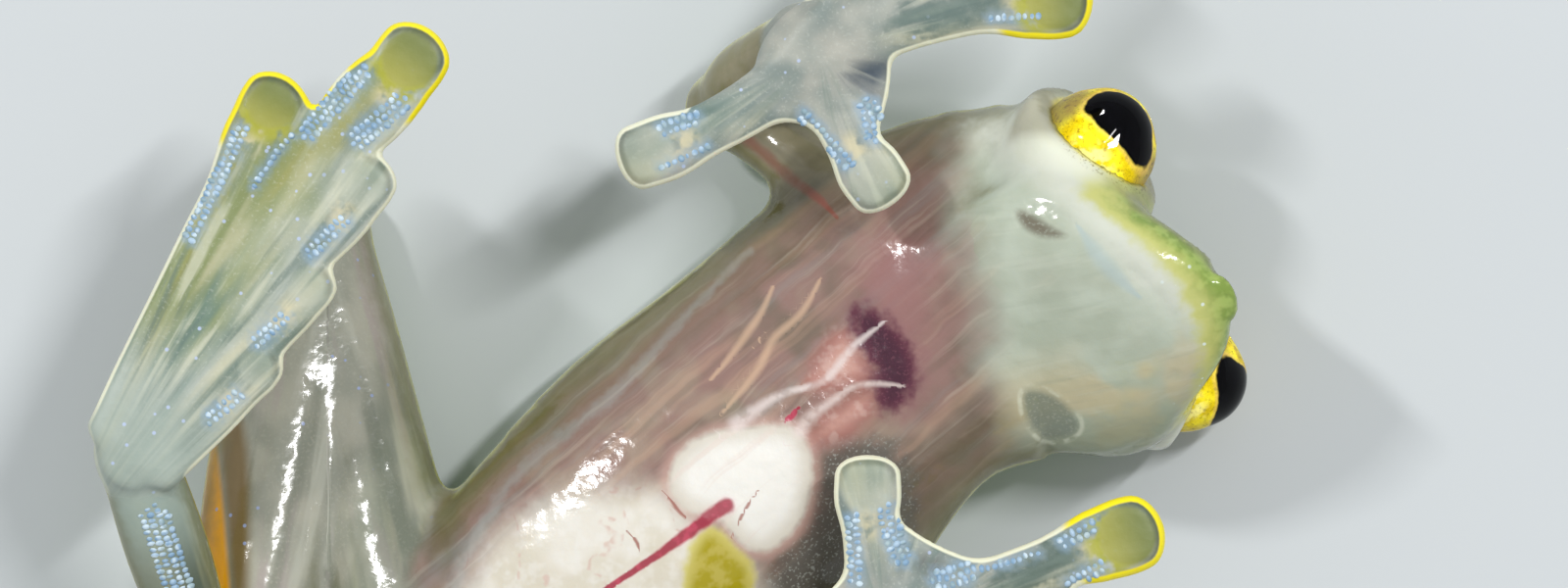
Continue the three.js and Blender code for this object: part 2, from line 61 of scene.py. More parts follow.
# The middle of the solids' box, counted in millimetres from the middle of the photograph
BOX_MIDDLE = np.array([-3.299, -5.750, 0.0])
FLOOR_Z = 0.0
PANE_Z = 9.4


def photo(x, y):
    """The place in millimetres of a pixel of the photograph."""
    return np.array([(x - PHOTO_WIDTH / 2) / PIXELS_PER_MM, (PHOTO_HEIGHT / 2 - y) / PIXELS_PER_MM])


def new_object(name, vertices, faces):
    """A mesh object from places in millimetres of the view, brought to the frame's metres."""
    mesh = bpy.data.meshes.new(name)
    places = (np.asarray(vertices, float) - BOX_MIDDLE) * MM
    faces = np.asarray(faces, np.int32)
    mesh.vertices.add(len(places))
    mesh.vertices.foreach_set("co", places.astype(np.float32).ravel())
    mesh.loops.add(faces.size)
    mesh.loops.foreach_set("vertex_index", faces.ravel())
    mesh.polygons.add(len(faces))
    mesh.polygons.foreach_set("loop_start", np.arange(0, faces.size, faces.shape[1], dtype=np.int32))
    mesh.update(calc_edges=True)
    mesh.shade_smooth()
    obj = bpy.data.objects.new(name, mesh)
    bpy.context.collection.objects.link(obj)
    return obj


# %% [markdown]
# ## Shapes as distances
# A frog has no hard edges: arm, chest and web run into each other. Joined meshes leave creases, and
# sculpting by hand can't be repeated. So we describe each part by a distance: how far any point in
# space lies outside its skin. Two distances can be blended with a rounded minimum, which is the
# fillet that flesh has, and at the end one grid of distances becomes one closed skin.

# %% Curves
def spline(rows, t):
    """Values at t, from 0 to 1, on a smooth curve through evenly spaced rows."""
    rows = np.asarray(rows, float)
    last = len(rows) - 1
    place = np.clip(np.asarray(t, float) * last, 0, last - 1e-9)
    i = place.astype(int)
    f = place - i
    if rows.ndim > 1:
        f = f[:, None]
    a, b = rows[np.maximum(i - 1, 0)], rows[i]
    c, d = rows[np.minimum(i + 1, last)], rows[np.minimum(i + 2, last)]
    bend = (2 * a - 5 * b + 4 * c - d) * f**2 + (3 * b - a - 3 * c + d) * f**3
    return b + 0.5 * ((c - a) * f + bend)


def line_through(stops, count):
    """Evenly spaced points on a smooth line through its stops."""
    fine = spline(stops, np.linspace(0, 1, 160))
    gone = np.r_[0, np.cumsum(np.linalg.norm(np.diff(fine, axis=0), axis=1))]
    wanted = np.linspace(0, gone[-1], count)
    return np.stack([np.interp(wanted, gone, fine[:, k]) for k in range(3)], axis=1)


def unit(v):
    """Vectors of length one."""
    v = np.asarray(v, float)
    return v / np.linalg.norm(v, axis=-1, keepdims=True)


# %% A limb, and the distance to its skin
class Limb:
    """A round-ended form along a path, with a half width and heights over and under its middle."""

    def __init__(self, path, wide, over, under, across=None, up=None, square=2.0, cap=1.0):
        self.path = np.asarray(path, float)
        self.tangent = unit(np.gradient(self.path, axis=0))
        level = np.cross(self.tangent, (0, 0, 1)) if across is None else across
        self.across = np.broadcast_to(unit(level), self.path.shape)
        rise = np.cross(self.across, self.tangent) if up is None else up
        self.up = np.broadcast_to(unit(rise), self.path.shape)
        self.wide, self.over, self.under = (np.asarray(size, float) for size in (wide, over, under))
        self.square = square
        self.cap = cap
        self.straight = np.abs(self.tangent - self.tangent[0]).max() < 1e-6

    def box(self, margin):
        reach = max(self.wide.max(), self.over.max(), self.under.max()) + margin
        return self.path.min(0) - reach, self.path.max(0) + reach

    def at(self, rows, t):
        i = np.minimum(t.astype(int), len(self.path) - 2)
        f = t - i
        if rows.ndim > 1:
            f = f[:, None]
        return rows[i] * (1 - f) + rows[i + 1] * f

    def nearest(self, points):
        """The place along the path, counted in path points, that each point lies closest to."""
        if self.straight:
            whole = self.path[-1] - self.path[0]
            return np.clip((points - self.path[0]) @ whole / (whole @ whole), 0, 1) * (len(self.path) - 1)
        best = np.full(len(points), np.inf)
        t = np.zeros(len(points))
        for i in range(len(self.path) - 1):
            along = self.path[i + 1] - self.path[i]
            gap = points - self.path[i]
            f = np.clip(gap @ along / (along @ along), 0, 1)
            gap = gap - f[:, None] * along
            far = np.einsum("ij,ij->i", gap, gap)
            closer = far < best
            best[closer] = far[closer]
            t[closer] = i + f[closer]
        return t

    def section(self, points):
        """Where each point lies in the limb's own section: along, beside, above and past an end."""
        t = self.nearest(points)
        gap = points - self.at(self.path, t)
        beside = np.einsum("ij,ij->i", gap, self.at(self.across, t))
        above = np.einsum("ij,ij->i", gap, self.at(self.up, t))
        past = np.einsum("ij,ij->i", gap, self.at(self.tangent, t))
        past[(t > 0) & (t < len(self.path) - 1)] = 0
        return t, beside, above, past

    def distance(self, points, plan=False):
        """How far each point lies outside the skin; with plan, as seen from above."""
        t, beside, above, past = self.section(points)
        wide = self.at(self.wide, t)
        high = np.where(above > 0, self.at(self.over, t), self.at(self.under, t))
        if plan:
            above = np.zeros_like(above)
        n = self.square
        ratio = ((np.abs(beside) / wide) ** n + (np.abs(above) / high) ** n) ** (1 / n)
        ratio = np.hypot(ratio, past / (self.cap * np.minimum(wide, high)))
        reach = np.sqrt(beside**2 + above**2 + past**2)
        return reach - reach / np.maximum(ratio, 1e-6)


def limb(stops, widths, flatness=1.0, square=2.0, count=16, cap=1.0):
    """A limb through a few stops, with half widths spaced evenly along it."""
    wide = spline(widths, np.linspace(0, 1, count))
    return Limb(line_through(stops, count), wide, wide * flatness, wide * flatness, square=square, cap=cap)


# %% [markdown]
# ### The block of clay
# The grid holds one distance for each small cell. Adding a limb changes only the cells round it, and
# a rounded minimum leaves a fillet of the size that we ask for. Cutting uses a rounded maximum.

# %% The block of clay
SKIN_STEP = 0.17
FAR_OUT = 1.0


def blended(a, b, blend):
    """The smaller of two distances, rounded over where they are closer than blend."""
    if blend <= 0:
        return np.minimum(a, b)
    close = np.maximum(blend - np.abs(a - b), 0) / blend
    return np.minimum(a, b) - close**2 * blend / 4


class Clay:
    """Distances to one skin on a regular grid, negative inside."""

    def __init__(self, low, high, step):
        self.low = np.asarray(low, float)
        self.step = step
        self.shape = np.ceil((np.asarray(high) - self.low) / step).astype(int) + 1
        self.far = np.full(self.shape, FAR_OUT, np.float32)

    def window(self, low, high):
        first = np.clip(np.floor((low - self.low) / self.step).astype(int), 0, self.shape - 1)
        last = np.clip(np.ceil((high - self.low) / self.step).astype(int) + 1, 1, self.shape)
        place = tuple(slice(a, b) for a, b in zip(first, last))
        axes = [self.low[k] + self.step * np.arange(first[k], last[k]) for k in range(3)]
        points = np.stack(np.meshgrid(*axes, indexing="ij"), axis=-1)
        return place, points.reshape(-1, 3)

    def add(self, form, blend, margin=None):
        low, high = form.box(max(blend, 2 * self.step) if margin is None else margin)
        place, points = self.window(low, high)
        far = form.distance(points).reshape(self.far[place].shape)
        self.far[place] = np.minimum(blended(self.far[place], far, blend), FAR_OUT)

    def cut(self, form, blend):
        low, high = form.box(max(blend, 2 * self.step))
        place, points = self.window(low, high)
        far = form.distance(points).reshape(self.far[place].shape)
        self.far[place] = -blended(-self.far[place], far, blend)

    def sampled(self, points):
        """The distance at any point in the block, and the way it grows."""
        place = (points - self.low) / self.step
        first = np.clip(np.floor(place).astype(int), 0, self.shape - 2)
        f = place - first
        far, slope = np.zeros(len(points)), np.zeros((len(points), 3))
        for corner in np.ndindex(2, 2, 2):
            value = self.far[tuple((first + corner).T)]
            share = np.where(corner, f, 1 - f)
            far += value * share.prod(axis=1)
            for k in range(3):
                others = [axis for axis in range(3) if axis != k]
                slope[:, k] += value * share[:, others].prod(axis=1) * (1 if corner[k] else -1) / self.step
        return far, slope

    def skin(self, rounds=3):
        """The closed skin as vertices and four-sided faces, evened out and put back on the distance."""
        grid = openvdb.FloatGrid(FAR_OUT)
        grid.copyFromArray(self.far)
        points, quads = grid.convertToQuads(0.0)
        points, quads = largest_surface(points.astype(float) * self.step + self.low, quads.astype(int))
        here, there = quads.ravel(), np.roll(quads, -1, axis=1).ravel()
        ways = np.bincount(here, minlength=len(points))
        for _ in range(rounds):
            sums = [np.bincount(here, weights=points[there, k], minlength=len(points)) for k in range(3)]
            points = 0.5 * points + 0.5 * np.stack(sums, axis=1) / ways[:, None]
            for _ in range(2):
                far, slope = self.sampled(points)
                points -= (far / np.maximum((slope**2).sum(axis=1), 0.25))[:, None] * slope
        return points, quads


def largest_surface(points, quads):
    """Only the biggest closed surface, without small bubbles inside or loose scraps."""
    label = np.arange(len(points))
    while True:
        lowest = label[quads].min(axis=1)
        smaller = label.copy()
        for k in range(4):
            np.minimum.at(smaller, quads[:, k], lowest)
        smaller = smaller[smaller]
        if (smaller == label).all():
            break
        label = smaller
    biggest = np.bincount(label).argmax()
    keep = label == biggest
    place = np.cumsum(keep) - 1
    return points[keep], place[quads[keep[quads[:, 0]]]]


class Ball:
    """A sphere."""

    def __init__(self, middle, radius):
        self.middle, self.radius = np.asarray(middle, float), radius

    def box(self, margin):
        return self.middle - self.radius - margin, self.middle + self.radius + margin

    def distance(self, points):
        return np.linalg.norm(points - self.middle, axis=1) - self.radius


# %% [markdown]
# ## The trunk
# The torso is a row of flattened rings from the vent to the neck, broad over the belly and low
# under the chest. The head has its own frame, turned, lifted and rolled, so that the right eye comes
# up and the left eye looks out from behind the snout.

# %% Torso
TORSO = np.array([
    [-11.5, -12.9, 3.9, 0.7, 0.6, 0.6],
    [-10.9, -12.45, 3.8, 1.9, 1.5, 1.7],
    [-9.4, -11.2, 3.7, 3.1, 2.6, 2.9],
    [-7.3, -9.6, 3.7, 4.3, 3.4, 3.7],
    [-4.8, -7.8, 3.7, 5.05, 3.8, 3.95],
    [-2.3, -5.75, 3.7, 5.35, 3.85, 3.95],
    [0.3, -3.45, 3.75, 5.1, 3.5, 3.95],
    [2.4, -1.6, 3.8, 5.05, 3.2, 3.8],
    [4.2, -0.4, 3.9, 5.2, 2.95, 3.3],
    [5.93, 0.34, 4.0, 5.15, 2.7, 2.8],
    [7.5, 0.7, 4.1, 4.65, 2.4, 2.3],
    [8.7, 0.5, 4.3, 2.9, 1.9, 1.7],
    [9.3, 0.5, 4.4, 1.1, 0.8, 0.7],
])
TORSO_PATH_POINTS = 26


def torso_form():
    t = np.linspace(0, 1, TORSO_PATH_POINTS)
    rows = spline(TORSO, t)
    across = np.cross((0, 0, 1), np.gradient(rows[:, :3], axis=0))
    up = np.broadcast_to((0.0, 0.0, 1.0), across.shape)
    return Limb(rows[:, :3], rows[:, 3], rows[:, 4], rows[:, 5], across=across, up=up, square=2.25)


# %% Head
HEAD_AT = np.array([6.36, -0.82, 4.7])
HEAD_YAW, HEAD_LIFT, HEAD_ROLL = (math.radians(angle) for angle in (6, 30, 29))
# Distance ahead of the jaw's corners, half width, height over and depth under the lip line
HEAD = np.array([
    [-2.6, 3.9, 2.3, 2.6],
    [-1.0, 4.1, 2.5, 2.5],
    [0.8, 4.35, 2.6, 2.2],
    [2.6, 4.7, 2.55, 1.85],
    [4.0, 4.25, 2.3, 1.6],
    [5.2, 3.25, 1.7, 1.3],
    [6.25, 2.35, 1.25, 0.95],
    [6.9, 1.6, 0.9, 0.6],
    [7.3, 0.8, 0.5, 0.25],
])
HEAD_PATH_POINTS = 30
HEAD_SQUARE = 2.3
# The line of the mouth on the under side: ahead of the jaw's corners and aside
MOUTH = [[-0.6, 3.95], [1.0, 4.15], [2.4, 4.3], [3.5, 4.0], [4.4, 3.3], [5.1, 2.45], [5.7, 1.5], [6.1, 0.7]]
MOUTH_TIP = 6.25
LIP_GROOVE = 0.07


def head_axes():
    """The head's forward, left and dorsal directions."""
    forward = np.array([
        math.cos(HEAD_LIFT) * math.cos(HEAD_YAW),
        math.cos(HEAD_LIFT) * math.sin(HEAD_YAW),
        math.sin(HEAD_LIFT),
    ])
    level = np.array([math.sin(HEAD_YAW), -math.cos(HEAD_YAW), 0])
    left = level * math.cos(HEAD_ROLL) + np.cross(forward, level) * math.sin(HEAD_ROLL)
    return forward, left, np.cross(forward, left)


FORWARD, LEFT, DORSAL = head_axes()


def on_head(ahead, aside, over):
    """A place on the head from its distances forward, to the left and towards the back."""
    return HEAD_AT + ahead * FORWARD + aside * LEFT + over * DORSAL


def head_form():
    ahead = np.linspace(HEAD[0, 0], HEAD[-1, 0], HEAD_PATH_POINTS)
    rows = spline(HEAD, np.linspace(0, 1, 200))
    rows = np.stack([np.interp(ahead, rows[:, 0], rows[:, k]) for k in range(4)], axis=1)
    path = HEAD_AT + rows[:, :1] * FORWARD
    across, up = np.broadcast_to(LEFT, path.shape), np.broadcast_to(DORSAL, path.shape)
    return Limb(path, rows[:, 1], rows[:, 2], rows[:, 3], across=across, up=up, square=HEAD_SQUARE)


# %% Eyes, lids, brow and nostrils
EYE_AHEAD, EYE_ASIDE, EYE_OVER, EYE_RADIUS = 3.45, 3.88, 2.8, 1.75
GAZE_AHEAD, GAZE_ASIDE, GAZE_OVER = 0.74, 0.63, 0.23
LID_RADIUS, LID_BEHIND, LID_OPENING, LID_LEAN, LID_TURN = 2.16, 0.25, -0.02, 0.1, 0.3
ORBIT_RADIUS, ORBIT_BACK = 2.14, 0.6
# The socket is a little smaller than the eye, so the skin closes round it without a gap
SOCKET_SINK = 0.08
BROW_AHEAD, BROW_ASIDE, BROW_OVER, BROW_HALF = 2.75, 2.9, 1.75, 1.75
BROW_MIDDLE_OVER, BROW_MIDDLE_HALF = 1.15, 1.35
TEMPLE_AHEAD, TEMPLE_ASIDE, TEMPLE_OVER, TEMPLE_HALF = -1.6, 3.0, 0.9, 1.3
NOSTRIL_AHEAD, NOSTRIL_ASIDE, NOSTRIL_OVER, NOSTRIL_BUMP = 6.5, 0.95, 0.72, 0.46
NOSTRIL_HOLE = 0.2
SIDES = {"left": 1, "right": -1}


def eye_middle(side):
    return on_head(EYE_AHEAD, side * EYE_ASIDE, EYE_OVER)


def gaze(side):
    return unit(GAZE_AHEAD * FORWARD + side * GAZE_ASIDE * LEFT + GAZE_OVER * DORSAL)


class Lid:
    """A cup round the eye: two balls cut by a leaning plane, with a rounded rim."""

    def __init__(self, side):
        eye, look = eye_middle(side), gaze(side)
        self.cup = Ball(eye - LID_BEHIND * look, LID_RADIUS)
        self.orbit = Ball(eye - ORBIT_BACK * FORWARD, ORBIT_RADIUS)
        self.normal = unit(look + LID_LEAN * DORSAL + LID_TURN * FORWARD)
        self.through = eye + LID_OPENING * self.normal

    def box(self, margin):
        return self.cup.box(margin + ORBIT_BACK)

    def distance(self, points):
        round_eye = blended(self.cup.distance(points), self.orbit.distance(points), 0.5)
        beyond = (points - self.through) @ self.normal
        return -blended(-round_eye, -beyond, 0.3)


def brow_forms():
    eyes = [on_head(BROW_AHEAD, side * BROW_ASIDE, BROW_OVER) for side in (1, -1)]
    arch = [eyes[0], on_head(BROW_AHEAD, 0, BROW_MIDDLE_OVER), eyes[1]]
    forms = [limb(arch, [BROW_HALF, BROW_MIDDLE_HALF, BROW_HALF])]
    for side, eye in zip((1, -1), eyes):
        back = on_head(TEMPLE_AHEAD, side * TEMPLE_ASIDE, TEMPLE_OVER)
        forms.append(limb([eye, back], [BROW_HALF, TEMPLE_HALF]))
    return forms


def under_head(ahead, aside):
    """A place on the under side of the head."""
    wide, under = (np.interp(ahead, HEAD[:, 0], HEAD[:, k]) for k in (1, 3))
    share = min(abs(aside) / wide, 0.999)
    return on_head(ahead, aside, -under * (1 - share**HEAD_SQUARE) ** (1 / HEAD_SQUARE))


def lip_form(clay):
    """The groove of the mouth, laid on the skin as it is so far."""
    right = [under_head(ahead, -aside) for ahead, aside in MOUTH]
    left = [under_head(ahead, aside) for ahead, aside in MOUTH[::-1]]
    stops = np.array([*right, under_head(MOUTH_TIP, 0), *left])
    for _ in range(4):
        far, slope = clay.sampled(stops)
        stops -= (far / np.maximum((slope**2).sum(axis=1), 0.25))[:, None] * slope
    return limb(stops, [LIP_GROOVE, LIP_GROOVE], count=44)


# %% [markdown]
# ## Arms and legs
# Each limb has a few joints and a row of half widths. Hands and feet lie flat in the level of the
# pane, so their digits are given by angles in it. The same tables set the plain solids.

# %% Arms
UPPER_ARM_WIDTHS = [1.45, 1.15, 0.98, 0.95]
FOREARM_WIDTHS = [1.0, 1.22, 1.05, 0.8]
ARMS = {
    "right": {
        "shoulder": [2.3, 2.7, 4.3],
        "elbow": [-1.8, 5.45, 2.7],
        "wrist": [0.45, 7.6, 7.3],
        "palm": [1.0, 7.0],
        "fingers": [[210, 6.1, 6, 0.98], [295, 4.35, -6, 0.98], [12, 7.4, 5, 1.08], [50, 6.9, 4, 1.02]],
        "webs": [[3.2, 2.7, 2.2], [3.3, 2.1, 2.65], [6.5, 5.8, 4.4]],
    },
    "left": {
        "shoulder": [4.4, -4.3, 4.2],
        "elbow": [2.2, -10.0, 2.7],
        "wrist": [3.1, -11.6, 7.3],
        "palm": [3.0, -9.9],
        "fingers": [[186, 6.1, -6, 0.98], [97, 4.7, 4, 0.98], [22.4, 7.9, 2, 1.08], [-22, 7.0, -4, 1.02]],
        "webs": [[3.2, 2.7, 2.2], [4.3, 5.0, 2.35], [6.5, 5.8, 4.4]],
    },
}
FINGER_WIDTHS = [1.0, 0.92, 0.84, 0.8, 0.8]
FINGER_FLATNESS, FINGER_SQUARE, FINGER_DEPTH = 0.6, 2.5, 0.46
PALM_SIZE = np.array([2.1, 1.5, 0.95])
PALM_TURN = 30
PALM_STEM_WIDTHS, PALM_STEM_FLATNESS = [1.0, 1.35], 0.7
WEB_THICKNESS, WEB_BELOW_PANE = 0.5, 0.2
DISC_TIP = 0.98


def direction(degrees):
    """A direction in the level of the pane."""
    return np.array([math.cos(math.radians(degrees)), math.sin(math.radians(degrees)), 0.0])


def finger_form(arm, finger):
    angle, reach, curl, disc = finger
    root = np.array([*arm["palm"], PANE_Z - FINGER_DEPTH])
    bow = reach * 0.01 * curl
    stops = [
        root + direction(angle) * reach * t + direction(angle + 90) * bow * math.sin(math.pi * t)
        for t in (0, 0.35, 0.7, 1)
    ]
    widths = [*FINGER_WIDTHS, disc, DISC_TIP * disc]
    return limb(stops, widths, FINGER_FLATNESS, FINGER_SQUARE, count=18)


class Ellipsoid:
    """A flattened ball, turned in the level of the pane."""

    def __init__(self, middle, size, turn):
        self.middle, self.size = np.asarray(middle, float), np.asarray(size, float)
        self.axes = np.array([direction(turn), direction(turn + 90), (0, 0, 1)])

    def box(self, margin):
        reach = self.size.max() + margin
        return self.middle - reach, self.middle + reach

    def distance(self, points, plan=False):
        local = (points - self.middle) @ self.axes.T
        if plan:
            local[:, 2] = 0
        reach = np.linalg.norm(local, axis=1)
        return reach - reach / np.maximum(np.linalg.norm(local / self.size, axis=1), 1e-6)


def rounded(outline, rounds=2):
    """A closed outline with each corner cut back twice, which leaves it nearly smooth."""
    for _ in range(rounds):
        after = np.roll(outline, -1, axis=0)
        outline = np.stack([0.75 * outline + 0.25 * after, 0.25 * outline + 0.75 * after], axis=1).reshape(-1, 2)
    return outline


class Plate:
    """A sheet of skin in the level of the pane, with an outline and a rounded edge."""

    def __init__(self, outline, thickness=WEB_THICKNESS, below=WEB_BELOW_PANE):
        self.outline = rounded(np.asarray(outline, float)[:, :2])
        self.half = thickness / 2
        self.level = PANE_Z - below - self.half

    def box(self, margin):
        low = np.array([*self.outline.min(0), self.level - self.half]) - margin
        return low, np.array([*self.outline.max(0), self.level + self.half]) + margin

    def distance(self, points, plan=False):
        flat = points[:, :2]
        best = np.full(len(flat), np.inf)
        inside = np.zeros(len(flat), bool)
        for a, b in zip(self.outline, np.roll(self.outline, -1, axis=0)):
            along = b - a
            gap = flat - a
            f = np.clip(gap @ along / (along @ along), 0, 1)
            best = np.minimum(best, np.linalg.norm(gap - f[:, None] * along, axis=1))
            crosses = (a[1] > flat[:, 1]) != (b[1] > flat[:, 1])
            if along[1]:
                inside ^= crosses & (flat[:, 0] < a[0] + along[0] * (flat[:, 1] - a[1]) / along[1])
        beside = np.where(inside, -best, best)
        if plan:
            return beside
        above = np.abs(points[:, 2] - self.level) - self.half
        return -blended(-beside, -above, 0.3)


def web_between(arm, i):
    first, second, notch = arm["webs"][i]
    one, two = arm["fingers"][i][0], arm["fingers"][i + 1][0]
    two -= 360 * round((two - one) / 360)
    root = np.array([*arm["palm"], 0.0])
    a = root + direction(one) * first
    b = root + direction((one + two) / 2) * notch
    c = root + direction(two) * second
    curve = [(1 - t) ** 2 * a + 2 * t * (1 - t) * b + t**2 * c for t in np.linspace(0, 1, 10)]
    return Plate([root, *curve])


def arm_forms(arm):
    """The parts of an arm with the blend that joins each to what is there already."""
    shoulder, elbow, wrist = (np.array(arm[key]) for key in ("shoulder", "elbow", "wrist"))
    palm = np.array([*arm["palm"], PANE_Z - PALM_SIZE[2]])
    fingers = [finger_form(arm, finger) for finger in arm["fingers"]]
    upper = limb([shoulder, elbow], UPPER_ARM_WIDTHS)
    fore = limb([elbow, wrist], FOREARM_WIDTHS)
    stem = limb([wrist, palm], PALM_STEM_WIDTHS, PALM_STEM_FLATNESS)
    pad = Ellipsoid(palm, PALM_SIZE, arm["fingers"][2][0] + PALM_TURN)
    webs = [web_between(arm, i) for i in range(len(arm["webs"]))]
    hand = [(stem, 0.4), (pad, 0.4)]
    return {"arm": [(upper, 1.0), (fore, 0.5)], "hand": hand, "webs": webs, "digits": fingers, "discs": fingers[2:3]}


# %% Legs
THIGH_WIDTHS = [2.25, 2.0, 1.85, 1.7, 1.5]
SHANK_WIDTHS = [1.45, 1.88, 2.05, 1.8, 1.15]
TARSUS_WIDTHS, TARSUS_FLATNESS, TARSUS_ASIDE = [1.0, 1.05, 1.22, 1.12], 0.85, 0.12
SOLE_WIDTHS, SOLE_FLATNESS = [0.95, 1.35], 0.6
HEEL_AT, HEEL_SIZE = (-0.1, 0.05, 1.05), (1.15, 0.92, 0.95)
LEGS = {
    "right": {
        "hip": [-11.1, -9.9, 3.3],
        "knee": [-13.77, 2.0, 1.35],
        "ankle": [-16.1, -13.3, 4.4],
        "foot_base": [-18.8, -4.5],
        "foot_angle": 53.9,
        "side": 1,
    },
    "left": {
        "hip": [-8.55, -13.65, 3.3],
        "knee": [1.73, -20.58, 1.35],
        "ankle": [-13.3, -17.3, 4.4],
        "foot_base": [-6.1, -22.98],
        "foot_angle": 12,
        "side": -1,
    },
}
# Toes 1 to 5: the end's place along and beside the foot's axis, the disc's half width, and the bow
TOES = [
    [4.2, -1.45, 0.69, -0.2],
    [7.02, -1.26, 0.74, -0.3],
    [10.42, -0.78, 0.88, -0.35],
    [14.16, 0.23, 1.05, -0.15],
    [10.7, 2.74, 0.93, 0.15],
]
TOE_WIDTHS = [0.8, 0.7, 0.64, 0.62, 0.62, 0.62]
TOE_FLATNESS, TOE_SQUARE, TOE_DEPTH, TOE_ROOT_SPREAD = 0.62, 2.4, 0.42, 0.4
DISC_BACK = 0.36
# The web's edge, from the heel past each toe and back along the outer side
WEB_EDGE = [
    [0.3, -1.36], [1.5, -1.42], [2.7, -1.64], [3.6, -1.55], [4.15, -1.3], [4.62, -1.38], [5.6, -1.57],
    [6.4, -1.68], [7.1, -1.25], [7.72, -1.1], [8.7, -1.37], [9.6, -1.55], [10.5, -0.95], [11.12, -0.25],
    [11.9, -0.58], [12.6, -0.68], [13.3, -0.74], [13.9, 0.2], [13.3, 1.35], [12.5, 1.62], [11.7, 1.67],
    [11.05, 1.6], [11.1, 2.2], [10.8, 3.0], [10.2, 3.4], [9.4, 3.28], [8.2, 2.92], [5.2, 2.4], [2.25, 1.95],
    [1.2, 1.75], [0.4, 1.48], [-0.5, 0.98], [-1.0, 0.5], [-1.2, -0.1], [-0.9, -0.8],
]


def on_foot(leg, along, beside, depth=0.0):
    """From the foot's own frame to the view's, at a depth under the pane."""
    base = np.array([*leg["foot_base"], PANE_Z - depth])
    return base + along * direction(leg["foot_angle"]) + leg["side"] * beside * direction(leg["foot_angle"] + 90)


def toe_form(leg, i):
    along, beside, disc, bow = TOES[i]
    root = (i - 2) * TOE_ROOT_SPREAD
    stops = [
        on_foot(leg, along * t, root * (1 - t) + beside * t + bow * math.sin(math.pi * t), TOE_DEPTH)
        for t in (0, 0.3, 0.65, 1)
    ]
    return limb(stops, [*TOE_WIDTHS, disc, DISC_TIP * disc], TOE_FLATNESS, TOE_SQUARE, count=24)


def disc_form(digit):
    """The round pad at the end of a digit."""
    disc = digit.wide[-1]
    middle = digit.path[-1] - DISC_BACK * disc * digit.tangent[-1]
    return Ellipsoid(middle, (disc, disc, TOE_FLATNESS * disc), 0)


def foot_web(leg):
    return Plate([on_foot(leg, *place) for place in WEB_EDGE])


def leg_forms(leg):
    hip, knee, ankle = (np.array(leg[key]) for key in ("hip", "knee", "ankle"))
    base, beyond = on_foot(leg, 0, 0, 1.0), on_foot(leg, 3, 0, 0.8)
    thigh = limb([hip, knee], THIGH_WIDTHS)
    shank = limb([knee, ankle], SHANK_WIDTHS)
    tarsus = limb([ankle, on_foot(leg, 0, TARSUS_ASIDE, 1.0)], TARSUS_WIDTHS, TARSUS_FLATNESS)
    sole = limb([base, beyond], SOLE_WIDTHS, SOLE_FLATNESS)
    heel = Ellipsoid(on_foot(leg, *HEEL_AT), HEEL_SIZE, leg["foot_angle"])
    toes = [toe_form(leg, i) for i in range(len(TOES))]
    return {
        "leg": [(thigh, 1.1), (shank, 0.5), (tarsus, 0.5)],
        "hand": [(sole, 0.4), (heel, 0.4)],
        "webs": [foot_web(leg)],
        "digits": toes,
        "discs": toes,
    }


# %% [markdown]
# ## One skin
# Now the block takes every form in turn. Flesh meets flesh with a broad blend, digits meet their web
# with a narrow one, and floor and pane cut it level.

# %% Build the skin
def skin_mesh():
    clay = Clay((-21.3, -25.7, -0.6), (14.6, 14.2, 10.2), SKIN_STEP)
    clay.add(torso_form(), 0.0)
    clay.add(head_form(), 0.9)
    for form in brow_forms():
        clay.add(form, 0.6)
    for side in SIDES.values():
        clay.add(Lid(side), 1.2)
        nostril = on_head(NOSTRIL_AHEAD, side * NOSTRIL_ASIDE, NOSTRIL_OVER)
        clay.add(Ball(nostril, NOSTRIL_BUMP), 0.3)
    clay.cut(lip_form(clay), 0.15)
    limbs = [arm_forms(ARMS[name]) for name in SIDES] + [leg_forms(LEGS[name]) for name in SIDES]
    for parts in limbs:
        for form, blend in parts.get("arm", []) + parts.get("leg", []) + parts["hand"]:
            clay.add(form, blend)
        for web in parts["webs"]:
            clay.add(web, 0.3)
        for digit in parts["digits"] + [disc_form(digit) for digit in parts["discs"]]:
            clay.add(digit, 0.3)
    for side in SIDES.values():
        clay.cut(Ball(eye_middle(side), EYE_RADIUS - SOCKET_SINK), 0.06)
        hole = on_head(NOSTRIL_AHEAD + 0.15, side * (NOSTRIL_ASIDE + 0.19), NOSTRIL_OVER + 0.2)
        clay.cut(Ball(hole, NOSTRIL_HOLE), 0.08)
    z = clay.low[2] + clay.step * np.arange(clay.shape[2])
    clay.far = -blended(-clay.far, -(z - PANE_Z)[None, None, :], 0.2)
    clay.far = -blended(-clay.far, -(FLOOR_Z - z)[None, None, :], 0.1)
    return clay.skin(), limbs


(skin_points, skin_quads), limbs = skin_mesh()
print("skin has", len(skin_points), "points and", len(skin_quads), "quads")
skin = new_object("skin", skin_points, skin_quads)
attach(skin, "root")
flesh = [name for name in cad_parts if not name.startswith("eye_")]
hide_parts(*flesh)

# %% [markdown]
# ## Eyes
# A frog's eye is a ball with a clear dome in front. The ball starts as a cube whose faces are cut
# into small squares and blown up, so it has no poles to pinch the iris. Each point also keeps its
# direction from the middle of the eye, counted along the pupil, across it and along the gaze, and
# the eye's material paints the iris from that.

# %% Eye pieces
CORNEA_RADIUS, CORNEA_BULGE = 1.43, 0.16
CORNEA_BLEND = 0.06
EYE_CUTS = 30


